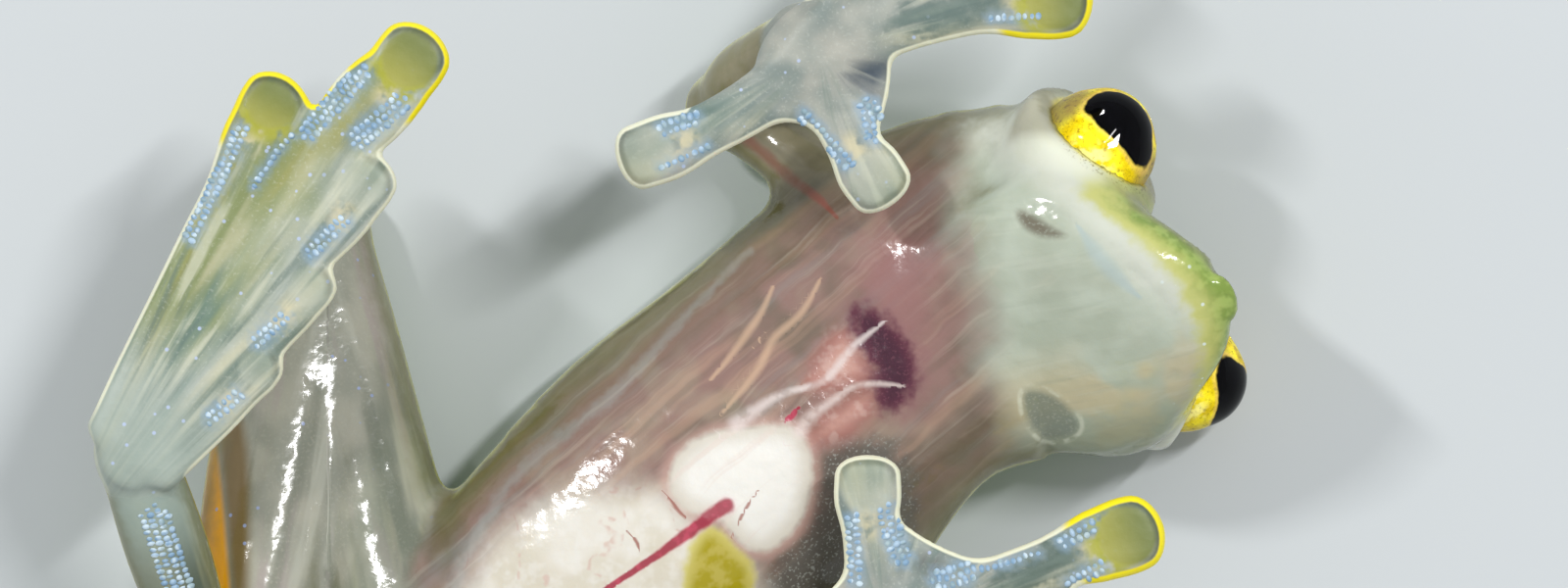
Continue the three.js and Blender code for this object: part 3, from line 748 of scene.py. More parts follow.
def round_cube(cuts):
    """Directions evenly spread over a ball, and the squares between them."""
    line = np.tan(np.linspace(-math.pi / 4, math.pi / 4, cuts + 1))
    u, v = (grid.ravel() for grid in np.meshgrid(line, line, indexing="ij"))
    corner = (np.arange(cuts)[:, None] * (cuts + 1) + np.arange(cuts)[None, :]).ravel()
    square = np.stack([corner, corner + cuts + 1, corner + cuts + 2, corner + 1], axis=1)
    points, squares = [], []
    for k in range(3):
        for sign in (1, -1):
            side = np.zeros((len(u), 3))
            side[:, k], side[:, (k + 1) % 3], side[:, (k + 2) % 3] = sign, sign * u, v
            squares.append(square + len(points) * len(u))
            points.append(side)
    points, places = np.unique(np.concatenate(points).round(6), axis=0, return_inverse=True)
    return unit(points), places.ravel()[np.concatenate(squares)]


def add_attribute(obj, name, values):
    """A number or a vector kept at each point of a mesh, for its material to read."""
    kind = "FLOAT_VECTOR" if np.ndim(values) == 2 else "FLOAT"
    attribute = obj.data.attributes.new(name, kind, "POINT")
    key = "vector" if kind == "FLOAT_VECTOR" else "value"
    attribute.data.foreach_set(key, np.asarray(values, np.float32).ravel())


def eye_axes(side):
    """The eye's own directions: forward along the pupil, up across it and out through it."""
    look = gaze(side)
    up = unit(DORSAL - (DORSAL @ look) * look)
    return np.array([side * np.cross(look, up), up, look])


def eye_object(name, side):
    directions, squares = round_cube(EYE_CUTS)
    local = directions @ eye_axes(side).T
    dome = EYE_RADIUS + CORNEA_BULGE - CORNEA_RADIUS
    aside = 1 - local[:, 2] ** 2
    front = dome * local[:, 2] + np.sqrt(CORNEA_RADIUS**2 - dome**2 * aside)
    reach = -blended(np.full(len(local), -EYE_RADIUS), -front, CORNEA_BLEND)
    piece = new_object(name, eye_middle(side) + reach[:, None] * directions, squares)
    add_attribute(piece, "eye", local)
    return piece


eyes = {}
for name, side in SIDES.items():
    eyes[name] = eye_object("eyeball_" + name, side)
    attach(eyes[name], "root")
    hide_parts("eye_" + name)
    print(name, "eye looks along", gaze(side).round(2), "pupil lies along", eye_axes(side)[0].round(2))

# %% [markdown]
# ## What the skin knows about itself
# A glass frog's colours follow its parts: streaks run along the bones, the organs show through one
# place of the belly, and round the toes runs a rim, painted bright for the glow of light through the
# thin edge. The distances that shaped the skin can tell a material all of that, so we measure them
# once more at each point and keep them as attributes.

# %% Measures on the skin
REACH = 1.2


def eased(value, low, high):
    """0 below low and 1 above high, smooth between."""
    t = np.clip((value - low) / (high - low), 0, 1)
    return t * t * (3 - 2 * t)


def near_box(form, points, plan=False):
    """The points that lie in the box round a form."""
    low, high = form.box(REACH)
    axes = 2 if plan else 3
    inside = (points[:, :axes] > low[:axes]) & (points[:, :axes] < high[:axes])
    return np.flatnonzero(inside.all(axis=1))


def nearest_distance(forms, points, plan=False, blend=0.0):
    """The blended distance from each point to a few forms, as a solid or as seen from above."""
    best = np.full(len(points), REACH)
    for form in forms:
        close = near_box(form, points, plan)
        far = form.distance(points[close], plan) if plan else form.distance(points[close])
        best[close] = blended(best[close], far, blend)
    return best


def nearest_section(forms, points):
    """On the closest form: length left to its end, beside, above, its own half width, and its number."""
    best = np.full(len(points), REACH)
    place = np.zeros((len(points), 4))
    place[:, 0] = 99.0
    number = np.full(len(points), -1)
    for i, form in enumerate(forms):
        close = near_box(form, points)
        far = form.distance(points[close])
        nearer = far < best[close]
        close, far = close[nearer], far[nearer]
        t, beside, above, past = form.section(points[close])
        pace = np.linalg.norm(form.path[1] - form.path[0])
        left = (len(form.path) - 1 - t) * pace - past
        place[close] = np.stack([left, beside, above, form.at(form.wide, t)], axis=1)
        best[close] = far
        number[close] = i
    return place, number


def share_of(far, others, blend):
    """1 where a part is nearer than the others and 0 where it is farther."""
    return eased(others - far, -blend, blend)


paws = [
    [form for form, _ in parts["hand"]] + parts["webs"] + parts["digits"] + [disc_form(d) for d in parts["discs"]]
    for parts in limbs
]
arms = [[form for form, _ in parts["arm"]] for parts in limbs[:2]]
legs = [[form for form, _ in parts["leg"]] for parts in limbs[2:]]
paw_forms = sum(paws, [])
arm_forms_all, leg_forms_all = sum(arms, []), sum(legs, [])
trunk_far = nearest_distance([torso_form(), head_form()], skin_points)
paw_far = nearest_distance(paw_forms, skin_points)
arm_far = nearest_distance(arm_forms_all, skin_points)
leg_far = nearest_distance(leg_forms_all, skin_points)
limb_far = np.minimum(arm_far, leg_far)
paw_share = eased(-paw_far, -0.5, -0.1)
add_attribute(skin, "paw", paw_share)
add_attribute(skin, "arm", share_of(arm_far, np.minimum(trunk_far, leg_far), 0.5))
add_attribute(skin, "leg", share_of(leg_far, np.minimum(trunk_far, arm_far), 0.5))
tarsus_far = nearest_distance([group[2] for group in legs], skin_points)
shank_far = nearest_distance([group[1] for group in legs], skin_points)
add_attribute(skin, "tarsus", share_of(tarsus_far, shank_far, 0.5))
print("paw, arm and leg cover", [int((far < 0.3).sum()) for far in (paw_far, arm_far, leg_far)], "points")

# %% Rims and digits
def as_seen(form):
    """A form as it is seen from above: a limb that climbs is laid level."""
    if isinstance(form, Limb) and np.ptp(form.path[:, 2]) > 0.01:
        return limb(form.path * (1, 1, 0), form.wide, count=len(form.path))
    return form


rim_forms = [as_seen(form) for form in paw_forms + [group[-1] for group in arms + legs]]
add_attribute(skin, "rim", -nearest_distance(rim_forms, skin_points * (1, 1, 0), plan=True, blend=0.3))
DISC_EDGE = 0.16
SHAFT_HALF, SHAFT_START, SHAFT_END = 0.42, 1.2, 6.5
KNUCKLE_START, KNUCKLE_END = 0.8, 2.1
VIVID_START, VIVID_END = 1.35, 2.4
VIVID_FINGERS, VIVID_TOES = (2, 3), (3, 4)
pad, tip = np.full(len(skin_points), -REACH), np.zeros(len(skin_points))
shaft, knuckle, vivid = (np.zeros(len(skin_points)) for _ in range(3))
for k, parts in enumerate(limbs):
    for i, digit in enumerate(parts["digits"]):
        disc = digit.wide[-1]
        middle = disc_form(digit).middle
        gap = (skin_points - middle)[:, :2]
        out = np.hypot(*gap.T)
        depth = np.clip(disc - DISC_EDGE - out, -REACH, REACH)
        nearer = depth > pad
        tip[nearer] = (gap[nearer] @ digit.tangent[-1][:2]) / disc
        pad[nearer] = depth[nearer]
        if i in (VIVID_FINGERS if k < 2 else VIVID_TOES):
            vivid = np.maximum(vivid, eased(-out, -VIVID_END, -VIVID_START))
        close = near_box(digit, skin_points)
        t, beside, above, past = digit.section(skin_points[close])
        back = (len(digit.path) - 1 - t) * np.linalg.norm(digit.path[1] - digit.path[0]) - past
        middling = eased(-np.abs(beside), -SHAFT_HALF, -0.1) * eased(t, 0, 0.3 * len(digit.path))
        along = eased(back, SHAFT_START, SHAFT_START + 0.7) * eased(-back, -SHAFT_END, 3.0 - SHAFT_END)
        shaft[close] = np.maximum(shaft[close], middling * along)
        along = eased(back, KNUCKLE_START, KNUCKLE_START + 0.4) * eased(-back, -KNUCKLE_END, 0.5 - KNUCKLE_END)
        knuckle[close] = np.maximum(knuckle[close], middling * along)
for name, values in {"pad": pad, "tip": tip, "shaft": shaft, "knuckle": knuckle, "vivid": vivid}.items():
    add_attribute(skin, name, values)

# %% Places along limbs, paws, trunk and head
limb_place, limb_number = nearest_section(arm_forms_all + leg_forms_all, skin_points)
LIMB_SHIFT = 20.0
limb_place[:, 0] += LIMB_SHIFT * limb_number
add_attribute(skin, "limb", limb_place[:, :3])
# Across and along each paw, and how much its streaks show
PALM_CLOUD = (1.2, 3.6)
fan = np.zeros((len(skin_points), 3))
for arm in ARMS.values():
    gap = skin_points[:, :2] - arm["palm"]
    close = (np.hypot(*gap.T) < 9) & (paw_share > 0)
    angle = np.arctan2(gap[close, 1], gap[close, 0]) - math.radians(arm["fingers"][2][0] + 180)
    angle = (angle + 2 * math.pi) % (2 * math.pi)
    reach = np.hypot(*gap[close].T)
    fan[close] = np.stack([angle * 3.0, reach, eased(reach, *PALM_CLOUD)], axis=1)
foot = np.zeros((len(skin_points), 3))
FOOT_HALF, FOOT_REACH = 4.6, 22.0
for leg in LEGS.values():
    heel = on_foot(leg, -6.0, 0.0)[:2]
    gap = skin_points[:, :2] - heel
    turned = gap @ np.array([direction(leg["foot_angle"])[:2], direction(leg["foot_angle"] + 90)[:2]]).T
    close = (np.abs(turned[:, 1]) < FOOT_HALF) & (turned[:, 0] > 0) & (turned[:, 0] < FOOT_REACH) & (paw_share > 0)
    reach = np.hypot(*turned[close].T)
    side = leg["side"] * np.arctan2(turned[close, 1], turned[close, 0]) * 11.0
    fan[close] = np.stack([side, reach - 6.0, 1 + 0 * reach], axis=1)
    foot[close] = np.stack([side, reach - 6.0, 1 + 0 * reach], axis=1)
add_attribute(skin, "fan", fan)
add_attribute(skin, "foot", foot)
trunk_place, _ = nearest_section([torso_form()], skin_points)
add_attribute(skin, "trunk", trunk_place[:, :3])
skull = (skin_points - HEAD_AT) @ np.array([FORWARD, LEFT, DORSAL]).T
add_attribute(skin, "skull", skull)
from_eyes = np.min([np.linalg.norm(skin_points - eye_middle(side), axis=1) for side in SIDES.values()], axis=0)
add_attribute(skin, "lid", np.minimum(from_eyes - EYE_RADIUS, REACH))
# How much each point faces the belly's side; on the head that is counted from the head's own roll
normals = np.zeros(len(skin_points) * 3, np.float32)
skin.data.vertex_normals.foreach_get("vector", normals)
normals = normals.reshape(-1, 3)
facing = normals[:, 2]
HEAD_START, HEAD_FULL = 0.5, 2.5
of_head = eased(skull[:, 0], HEAD_START, HEAD_FULL) * (limb_number < 0) * (paw_share == 0)
CHEEK_UNDER, CHEEK_SLOPE = 0.86, 1.15
upward = CHEEK_UNDER - CHEEK_SLOPE * (normals @ DORSAL)
add_attribute(skin, "under", facing * (1 - of_head) + upward * of_head)

# %% Outlines of what shows through
GUT = [
    (452, 640), (478, 590), (494, 560), (520, 535), (555, 512), (600, 500), (655, 494), (690, 500), (712, 535),
    (745, 560), (770, 590), (800, 640), (790, 700), (720, 760), (620, 800), (500, 790), (450, 720),
]
LOBE = [
    (679, 492), (690, 462), (719, 441), (762, 434), (812, 432), (827, 455), (830, 485), (824, 523), (806, 548),
    (779, 566), (757, 557), (746, 545), (735, 528), (715, 526), (695, 518),
]
GALL = [
    (694, 600), (703, 560), (714, 541), (729, 535), (744, 547), (757, 563), (771, 574), (770, 610), (765, 650),
    (700, 650),
]
HEART_UPPER = [
    (856, 333), (870, 338), (880, 352), (890, 373), (894, 387), (872, 393), (848, 397), (825, 400), (818, 388),
    (830, 366), (844, 346),
]
HEART_LOWER = [
    (896, 398), (896, 420), (878, 438), (854, 450), (832, 455), (824, 443), (836, 424), (858, 408), (878, 398),
]
PURPLE = [
    (868, 317), (890, 312), (908, 326), (919, 340), (930, 354), (935, 375), (936, 392), (926, 410), (910, 422),
    (896, 418), (895, 396), (889, 370), (879, 354), (872, 338),
]
BLUSH = [(880, 240), (915, 235), (950, 255), (962, 290), (950, 330), (945, 390), (915, 440), (890, 330), (872, 280)]
SMOKE = [
    (832, 470), (850, 452), (885, 447), (915, 452), (930, 480), (935, 530), (925, 600), (880, 650), (790, 650),
    (776, 610), (780, 588), (798, 570), (822, 545), (834, 510),
]
WINDOW_RIGHT = [(1033, 212), (1052, 216), (1070, 229), (1094, 243), (1068, 245), (1050, 240), (1037, 228)]
WINDOW_LEFT = [
    (1041, 400), (1050, 395), (1064, 397), (1082, 405), (1096, 419), (1104, 432), (1100, 444), (1082, 451),
    (1064, 450), (1053, 440), (1043, 422),
]
THROAT = [
    (975, 120), (962, 200), (985, 260), (1000, 330), (1012, 400), (1040, 470), (1100, 520), (1300, 480),
    (1320, 260), (1200, 60), (1050, 60),
]
LIP = [
    (972, 118), (1000, 92), (1040, 66), (1084, 58), (1084, 136), (1100, 168), (1126, 194), (1150, 222),
    (1190, 250), (1216, 282), (1238, 318), (1215, 338), (1180, 306), (1146, 280), (1105, 236), (1060, 192),
    (1010, 160),
]
SLATE = [(856, 82), (866, 66), (890, 58), (914, 62), (906, 86), (900, 104), (880, 98)]
SLATE_LEFT = [(932, 566), (950, 558), (970, 572), (958, 592), (936, 590)]
DUSK_RIGHT = [(908, 12), (940, -6), (1040, -12), (1048, 6), (1004, 20), (944, 38), (914, 48)]
DUSK_LEFT = [(1000, 592), (1040, 570), (1085, 551), (1112, 556), (1094, 582), (1050, 600), (1010, 612)]
BROWN = [(214, 415), (256, 415), (256, 640), (238, 640), (230, 560), (222, 480)]
AMBER = [(186, 425), (214, 415), (224, 480), (232, 560), (238, 640), (210, 640), (198, 560), (192, 490)]
OUTLINES = {
    "gut": GUT,
    "lobe": LOBE,
    "gall": GALL,
    "heart_upper": HEART_UPPER,
    "heart_lower": HEART_LOWER,
    "purple": PURPLE,
    "blush": BLUSH,
    "smoke": SMOKE,
    "window_right": WINDOW_RIGHT,
    "window_left": WINDOW_LEFT,
    "throat": THROAT,
    "lip": LIP,
    "slate": SLATE,
    "slate_left": SLATE_LEFT,
    "dusk_right": DUSK_RIGHT,
    "dusk_left": DUSK_LEFT,
    "brown": BROWN,
    "amber": AMBER,
}
for name, outline in OUTLINES.items():
    shape = Plate([photo(*pixel) for pixel in outline])
    depth = np.full(len(skin_points), -REACH)
    close = near_box(shape, skin_points, plan=True)
    depth[close] = -shape.distance(skin_points[close], plan=True)
    depth = np.clip(depth, -REACH, REACH)
    depth[facing < 0] = -REACH
    add_attribute(skin, name, depth)
    print(name, "covers", int((depth > 0).sum()), "points of the skin")

# %% Veins, tendons and other lines under the skin
# Each line goes through a few pixels of the photograph, with half widths in millimetres along it
VEIN = [(520, 668), (570, 635), (620, 600), (665, 570), (700, 545), (722, 528), (742, 515)]
VEIN_WIDTHS = [0.1, 0.1, 0.09, 0.09, 0.11, 0.17, 0.2]
ARM_VESSEL = [(735, 120), (768, 146), (793, 169), (811, 185), (836, 203), (854, 222)]
RED_SPOT = [(799, 432), (808, 424), (815, 416)]
VEIN_BRANCHES = [
    [(676, 500), (684, 508), (692, 520), (702, 529)],
    [(642, 543), (650, 552), (655, 565)],
    [(580, 600), (600, 606), (612, 606)],
    [(748, 545), (760, 520), (775, 498)],
]
HEART_TENDON = [(752, 432), (783, 410), (803, 400), (836, 391), (852, 377), (870, 354), (888, 339), (906, 325)]
LOWER_TENDON = [(815, 440), (829, 423), (852, 407), (870, 395), (889, 391), (922, 394)]
RIBBON = [(455, 640), (473, 574), (512, 504), (560, 455), (623, 405), (706, 316), (765, 255)]
PEACH = [(738, 420), (773, 378), (789, 346), (818, 319), (837, 285)]
PEACH_BESIDE = [(725, 388), (751, 356), (776, 320), (789, 292)]
JAW_SLIT = [(1098, 231), (1120, 262), (1146, 290), (1162, 304)]
LINES = {
    "vein": [(VEIN, VEIN_WIDTHS), (RED_SPOT, [0.04, 0.09, 0.05])],
    "vessel": [(line, [0.03, 0.045, 0.03]) for line in VEIN_BRANCHES] + [(ARM_VESSEL, [0.13, 0.16, 0.15, 0.12, 0.05])],
    "peach": [(PEACH, [0.05, 0.1, 0.11, 0.1, 0.05]), (PEACH_BESIDE, [0.05, 0.09, 0.1, 0.05])],
    "tendon": [(HEART_TENDON, [0.22, 0.15, 0.1, 0.09, 0.11, 0.11, 0.08, 0.04])],
    "tendon_low": [(LOWER_TENDON, [0.18, 0.14, 0.1, 0.08, 0.08, 0.05])],
    "ribbon": [(RIBBON, [0.17, 0.16, 0.1]), (JAW_SLIT, [0.05, 0.2, 0.18, 0.05])],
}
FAR_RATIO, NEAR_RATIO = 9.0, 3.0


def line_places(lines):
    """On the nearest line: aside of it and past its end, both in half widths, and the length gone."""
    place = np.full((len(skin_points), 3), FAR_RATIO)
    flat = skin_points * (1, 1, 0)
    for pixels, widths in lines:
        line = limb([(*photo(*pixel), 0) for pixel in pixels], widths, count=24)
        close = near_box(line, flat, plan=True)
        close = close[facing[close] > 0]
        t, beside, _, past = line.section(flat[close])
        half = line.at(line.wide, t)
        ratios = np.stack([beside / half, past / half, t * np.linalg.norm(line.path[1] - line.path[0])], axis=1)
        ratios[:, :2] = np.clip(ratios[:, :2], -FAR_RATIO, FAR_RATIO)
        nearer = np.hypot(*ratios[:, :2].T) < np.hypot(*place[close, :2].T)
        ratios[np.hypot(*ratios[:, :2].T) > NEAR_RATIO, 1] = FAR_RATIO
        place[close[nearer]] = ratios[nearer]
    return place


for name, lines in LINES.items():
    add_attribute(skin, name, line_places(lines))
print("lines under the skin:", list(LINES))

# %% [markdown]
# ## Tools for paint
# A material is a tree of small nodes. The helper below adds them with few words: it joins sockets,
# lays one colour over another through a mask, and reads the attributes that we just kept. Effects
# that more than one material needs are node groups, with named inputs for each one's own values.

# %% A helper for materials
def colour(red, green, blue):
    """A colour given as it looks on a screen, from 0 to 255, as the shader counts it."""
    share = np.array([red, green, blue]) / 255
    linear = np.where(share <= 0.04045, share / 12.92, ((share + 0.055) / 1.055) ** 2.4)
    return (*linear.tolist(), 1.0)


class Wires:
    """Adds nodes to one tree and joins them."""

    def __init__(self, tree):
        self.tree = tree

    def join(self, socket, value):
        if isinstance(value, bpy.types.NodeSocket):
            self.tree.links.new(value, socket)
        else:
            socket.default_value = value

    def make(self, kind, values, out=0, **settings):
        node = self.tree.nodes.new(kind)
        for key, value in settings.items():
            setattr(node, key, value)
        for socket, value in values.items():
            self.join(node.inputs[socket], value)
        return node.outputs[out]


class Paint(Wires):
    """The same for materials, with the steps that painting needs."""

    def node(self, kind, values, out=0, **settings):
        return self.make("ShaderNode" + kind, values, out, **settings)

    def math(self, operation, *values):
        return self.node("Math", dict(enumerate(values)), operation=operation)

    def vector(self, operation, *values, out=0):
        return self.node("VectorMath", dict(enumerate(values)), out=out, operation=operation)

    def step(self, value, low, high):
        """0 below low and 1 above high, smooth between, or the other way round."""
        values = {"Value": value, "From Min": low, "From Max": high}
        return self.node("MapRange", values, interpolation_type="SMOOTHSTEP")

    def share(self, mask, amount):
        return self.math("MULTIPLY", mask, amount)

    def both(self, *masks):
        result = masks[0]
        for mask in masks[1:]:
            result = self.math("MULTIPLY", result, mask)
        return result

    def either(self, one, other):
        return self.math("MAXIMUM", one, other)

    def without(self, mask):
        return self.math("SUBTRACT", 1.0, mask)

    def layer(self, below, above, mask):
        """One colour over another where the mask says."""
        return self.node("Mix", {0: mask, 6: below, 7: above}, out=2, data_type="RGBA")

    def noise(self, place, scale, detail=2.0, rough=0.5, out=0):
        values = {"Vector": place, "Scale": scale, "Detail": detail, "Roughness": rough}
        return self.node("TexNoise", values, out=out)

    def three_noises(self, place, scale, detail=2.0, rough=0.5):
        """Three noises of one scale that have nothing to do with one another."""
        return self.parts(self.noise(place, scale, detail, rough, out=1))

    def kept(self, name, out=2):
        """An attribute of the mesh: as a number, or with out=1 as a vector."""
        return self.node("Attribute", {}, out=out, attribute_name=name)

    def parts(self, vector):
        node = self.tree.nodes.new("ShaderNodeSeparateXYZ")
        self.join(node.inputs[0], vector)
        return node.outputs

    def group(self, tree, values, out=0):
        node = self.tree.nodes.new("ShaderNodeGroup")
        node.node_tree = tree
        for socket, value in values.items():
            self.join(node.inputs[socket], value)
        return node.outputs[out]


def effect(name, inputs, output, build):
    """A node group with named inputs, each with its kind and first value, and one output."""
    tree = bpy.data.node_groups.new(name, "ShaderNodeTree")
    for key, (kind, value) in inputs.items():
        tree.interface.new_socket(key, in_out="INPUT", socket_type="NodeSocket" + kind).default_value = value
    tree.interface.new_socket(output[0], in_out="OUTPUT", socket_type="NodeSocket" + output[1])
    given = tree.nodes.new("NodeGroupInput").outputs
    made = build(Paint(tree), given)
    tree.links.new(made, tree.nodes.new("NodeGroupOutput").inputs[0])
    return tree


# %% Shared effects
def build_streaks(paint, given):
    """Three noises drawn out along Y."""
    place = paint.vector("MULTIPLY", given["Place"], given["Stretch"])
    place = paint.vector("ADD", place, given["Shift"])
    return paint.noise(place, 1.0, 3.0, 0.5, out=1)


STREAKS = effect(
    "streaks",
    {
        "Place": ("Vector", (0, 0, 0)),
        "Stretch": ("Vector", (2, 0.3, 2)),
        "Shift": ("Vector", (0, 0, 0)),
    },
    ("Masks", "Vector"),
    build_streaks,
)


def build_speckles(paint, given):
    """Small round spots in some of the cells of a scatter."""
    node = paint.node("TexVoronoi", {"Vector": given["Place"], "Scale": given["Scale"]}).node
    spot = paint.step(node.outputs["Distance"], given["Size"], paint.math("MULTIPLY", given["Size"], 0.6))
    chosen = paint.math("LESS_THAN", paint.parts(node.outputs["Color"])[0], given["Share"])
    return paint.both(spot, chosen)


SPECKLES = effect(
    "speckles",
    {
        "Place": ("Vector", (0, 0, 0)),
        "Scale": ("Float", 3.0),
        "Size": ("Float", 0.15),
        "Share": ("Float", 0.5),
    },
    ("Mask", "Float"),
    build_speckles,
)


def build_wet_grain(paint, given):
    """The fine unevenness under a wet film, which breaks a highlight into pieces."""
    coarse = paint.noise(given["Place"], given["Coarse"], 1.0)
    fine = paint.noise(given["Place"], given["Fine"], 2.0)
    height = paint.math("MULTIPLY_ADD", fine, given["Fine Share"], coarse)
    values = {"Height": height, "Distance": given["Depth"], "Strength": 1.0}
    return paint.node("Bump", values)


WET_GRAIN = effect(
    "wet_grain",
    {
        "Place": ("Vector", (0, 0, 0)),
        "Coarse": ("Float", 3.0),
        "Fine": ("Float", 9.0),
        "Fine Share": ("Float", 0.3),
        "Depth": ("Float", 0.00001),
    },
    ("Normal", "Vector"),
    build_wet_grain,
)
print("shared effects:", [tree.name for tree in (STREAKS, SPECKLES, WET_GRAIN)])


def millimetres(paint):
    """Object coordinates brought back to millimetres of the view."""
    place = paint.node("TexCoord", {}, out=3)
    values = {"Vector": place, "Location": tuple(BOX_MIDDLE), "Scale": (1 / MM,) * 3}
    return paint.node("Mapping", values)


def new_material(name, base):
    """A material with its default shader, and a helper that adds nodes to its tree."""
    material = bpy.data.materials.new(name)
    material.use_nodes = True
    material.diffuse_color = base
    shader = material.node_tree.nodes["Principled BSDF"]
    return material, Paint(material.node_tree), shader


# %% [markdown]
# ## The skin over the belly
# The belly skin of this frog is clear, and what we see is the muscle, the white gut lobes, the liver
# and the heart under it. Real layers of glass render dark and slow, and the export can't carry them,
# so the organs are painted on, with soft and uneven edges as things have under a skin.

# %% Belly
FIBRE_ANGLE = 49


def line_mask(paint, medium, name, sway, soft=0.45):
    """Where a line under the skin shows, with edges that sway by a few half widths."""
    beside, past, _ = paint.parts(paint.kept(name, out=1))
    beside = paint.math("MULTIPLY_ADD", medium[1], sway, paint.math("SUBTRACT", beside, sway / 2))
    far = paint.math("SQRT", paint.math("ADD", paint.both(beside, beside), paint.both(past, past)))
    return paint.step(far, 1.0 + soft, 1.0 - soft)


def paint_belly(paint, place, broad, medium, fine):
    flat = paint.vector("MULTIPLY", place, (1.0, 1.0, 0.0))
    uneven = paint.math("MULTIPLY_ADD", medium[0], 0.9, -0.45)

    def organ(name, soft, roughness=1.0):
        depth = paint.math("MULTIPLY_ADD", uneven, roughness, paint.kept(name))
        return paint.step(depth, -soft, soft)

    def line(name, sway, soft=0.45):
        return line_mask(paint, medium, name, sway, soft)

    left, beside, _ = paint.parts(paint.kept("trunk", out=1))
    chest = paint.step(paint.math("MULTIPLY_ADD", broad[0], 5.0, left), 13.0, 8.8)
    tone = paint.layer(colour(130, 120, 98), colour(140, 112, 104), chest)
    tone = paint.layer(tone, colour(98, 94, 78), paint.share(paint.step(broad[1], 0.46, 0.68), 0.6))
    tone = paint.layer(tone, colour(158, 146, 126), paint.share(paint.step(broad[2], 0.5, 0.7), 0.5))
    # Muscle fibres of the flank run up the picture to the right
    bend = paint.vector("MULTIPLY", paint.node("CombineXYZ", dict(enumerate(broad))), (0.5, 0.5, 0.0))
    turned = {"Vector": paint.vector("ADD", flat, bend), "Rotation": (0, 0, math.radians(FIBRE_ANGLE))}
    turned = paint.node("Mapping", turned)
    fibres = paint.parts(paint.group(STREAKS, {"Place": turned, "Stretch": (1.5, 0.09, 1.0)}))
    thin = paint.parts(paint.group(STREAKS, {"Place": turned, "Stretch": (4.2, 0.16, 1.0), "Shift": (3, 9, 0)}))
    flank = paint.without(paint.share(chest, 0.55))
    tone = paint.layer(tone, colour(92, 86, 70), paint.both(paint.step(fibres[2], 0.48, 0.7), flank, 0.75))
    tone = paint.layer(tone, colour(190, 156, 132), paint.both(paint.step(fibres[0], 0.5, 0.7), flank, 0.75))
    tone = paint.layer(tone, colour(142, 150, 148), paint.both(paint.step(fibres[1], 0.52, 0.7), flank, 0.7))
    tone = paint.layer(tone, colour(206, 194, 176), paint.both(paint.step(thin[0], 0.53, 0.72), flank, 0.5))
    tone = paint.layer(tone, colour(92, 82, 70), paint.both(paint.step(thin[1], 0.53, 0.72), flank, 0.45))
    edge = paint.step(paint.math("ABSOLUTE", beside), 3.0, 4.7)
    tone = paint.layer(tone, colour(82, 84, 44), paint.both(edge, flank, 0.95))
    # The chest muscles are a warm purple brown
    tone = paint.layer(tone, colour(150, 108, 106), paint.share(organ("blush", 0.8), 0.75))
    tone = paint.layer(tone, colour(92, 90, 84), paint.share(organ("smoke", 0.45), 0.85))
    dust = paint.both(organ("smoke", 0.4), paint.step(fine, 0.56, 0.72))
    tone = paint.layer(tone, colour(168, 170, 162), paint.share(dust, 0.6))
    ribbon = paint.both(line("ribbon", 2.4, 0.9), paint.without(organ("throat", 0.3)))
    tone = paint.layer(tone, colour(160, 172, 170), paint.share(ribbon, 0.3))
    tone = paint.layer(tone, colour(206, 174, 146), paint.share(line("peach", 0.5, 0.95), 0.6))
    # Lobes of the gut: cream clouds with pink lines in their folds
    gut = organ("gut", 0.8, 0.5)
    cream = paint.layer(colour(208, 201, 184), colour(220, 215, 204), paint.step(broad[1], 0.36, 0.6))
    cream = paint.layer(cream, colour(226, 223, 216), paint.share(paint.step(medium[2], 0.45, 0.7), 0.5))
    fold = paint.step(paint.math("ABSOLUTE", paint.math("SUBTRACT", broad[2], 0.49)), 0.022, 0.0)
    cream = paint.layer(cream, colour(204, 176, 164), paint.both(fold, paint.step(medium[1], 0.46, 0.6), 0.7))
    tone = paint.layer(tone, cream, paint.share(gut, 0.97))
    # The stomach lies over the gut and is whiter, with a warm painted shadow round it where it meets the gut
    lobe_depth = paint.kept("lobe")
    painted_shadow_round_lobe = paint.both(paint.step(lobe_depth, -0.42, -0.05), paint.step(lobe_depth, 0.1, -0.02))
    tone = paint.layer(tone, colour(196, 160, 148), paint.share(painted_shadow_round_lobe, 0.5))
    # Painted shading: the stomach is lighter in its middle and darker towards its edge, which rounds it
    lobe = paint.layer(colour(222, 219, 212), colour(202, 195, 182), paint.step(lobe_depth, 0.7, 0.05))
    lobe = paint.layer(lobe, colour(212, 196, 186), paint.share(paint.step(thin[2], 0.55, 0.7), 0.5))
    tone = paint.layer(tone, lobe, organ("lobe", 0.14, 0.25))
    tone = paint.layer(tone, colour(158, 90, 78), paint.share(line("vessel", 0.9, 0.8), 0.55))
    # Gall bladder
    gall = organ("gall", 0.16, 0.35)
    yellow = paint.layer(colour(200, 190, 112), colour(164, 150, 26), paint.step(paint.kept("gall"), 0.0, 0.45))
    yellow = paint.layer(yellow, colour(190, 176, 92), paint.share(paint.step(medium[2], 0.42, 0.62), 0.6))
    tone = paint.layer(tone, yellow, gall)
    # Heart, with blood behind it. Each half is salmon flesh with painted shading, paler in its middle and darker at its
    # edge
    for name in ("heart_upper", "heart_lower"):
        flesh = paint.layer(colour(168, 110, 100), colour(196, 152, 140), paint.step(paint.kept(name), 0.05, 0.6))
        flesh = paint.layer(flesh, colour(208, 176, 166), paint.share(paint.step(medium[2], 0.5, 0.66), 0.5))
        tone = paint.layer(tone, flesh, paint.share(organ(name, 0.5, 0.4), 0.92))
    tone = paint.layer(tone, colour(126, 84, 92), paint.share(organ("purple", 0.6, 0.9), 0.8))
    blood = paint.layer(colour(86, 34, 54), colour(62, 24, 44), paint.step(paint.kept("purple"), 0.0, 0.5))
    blood = paint.layer(blood, colour(120, 70, 84), paint.share(paint.step(fine, 0.55, 0.7), 0.35))
    tone = paint.layer(tone, blood, paint.share(organ("purple", 0.24, 0.9), 0.94))
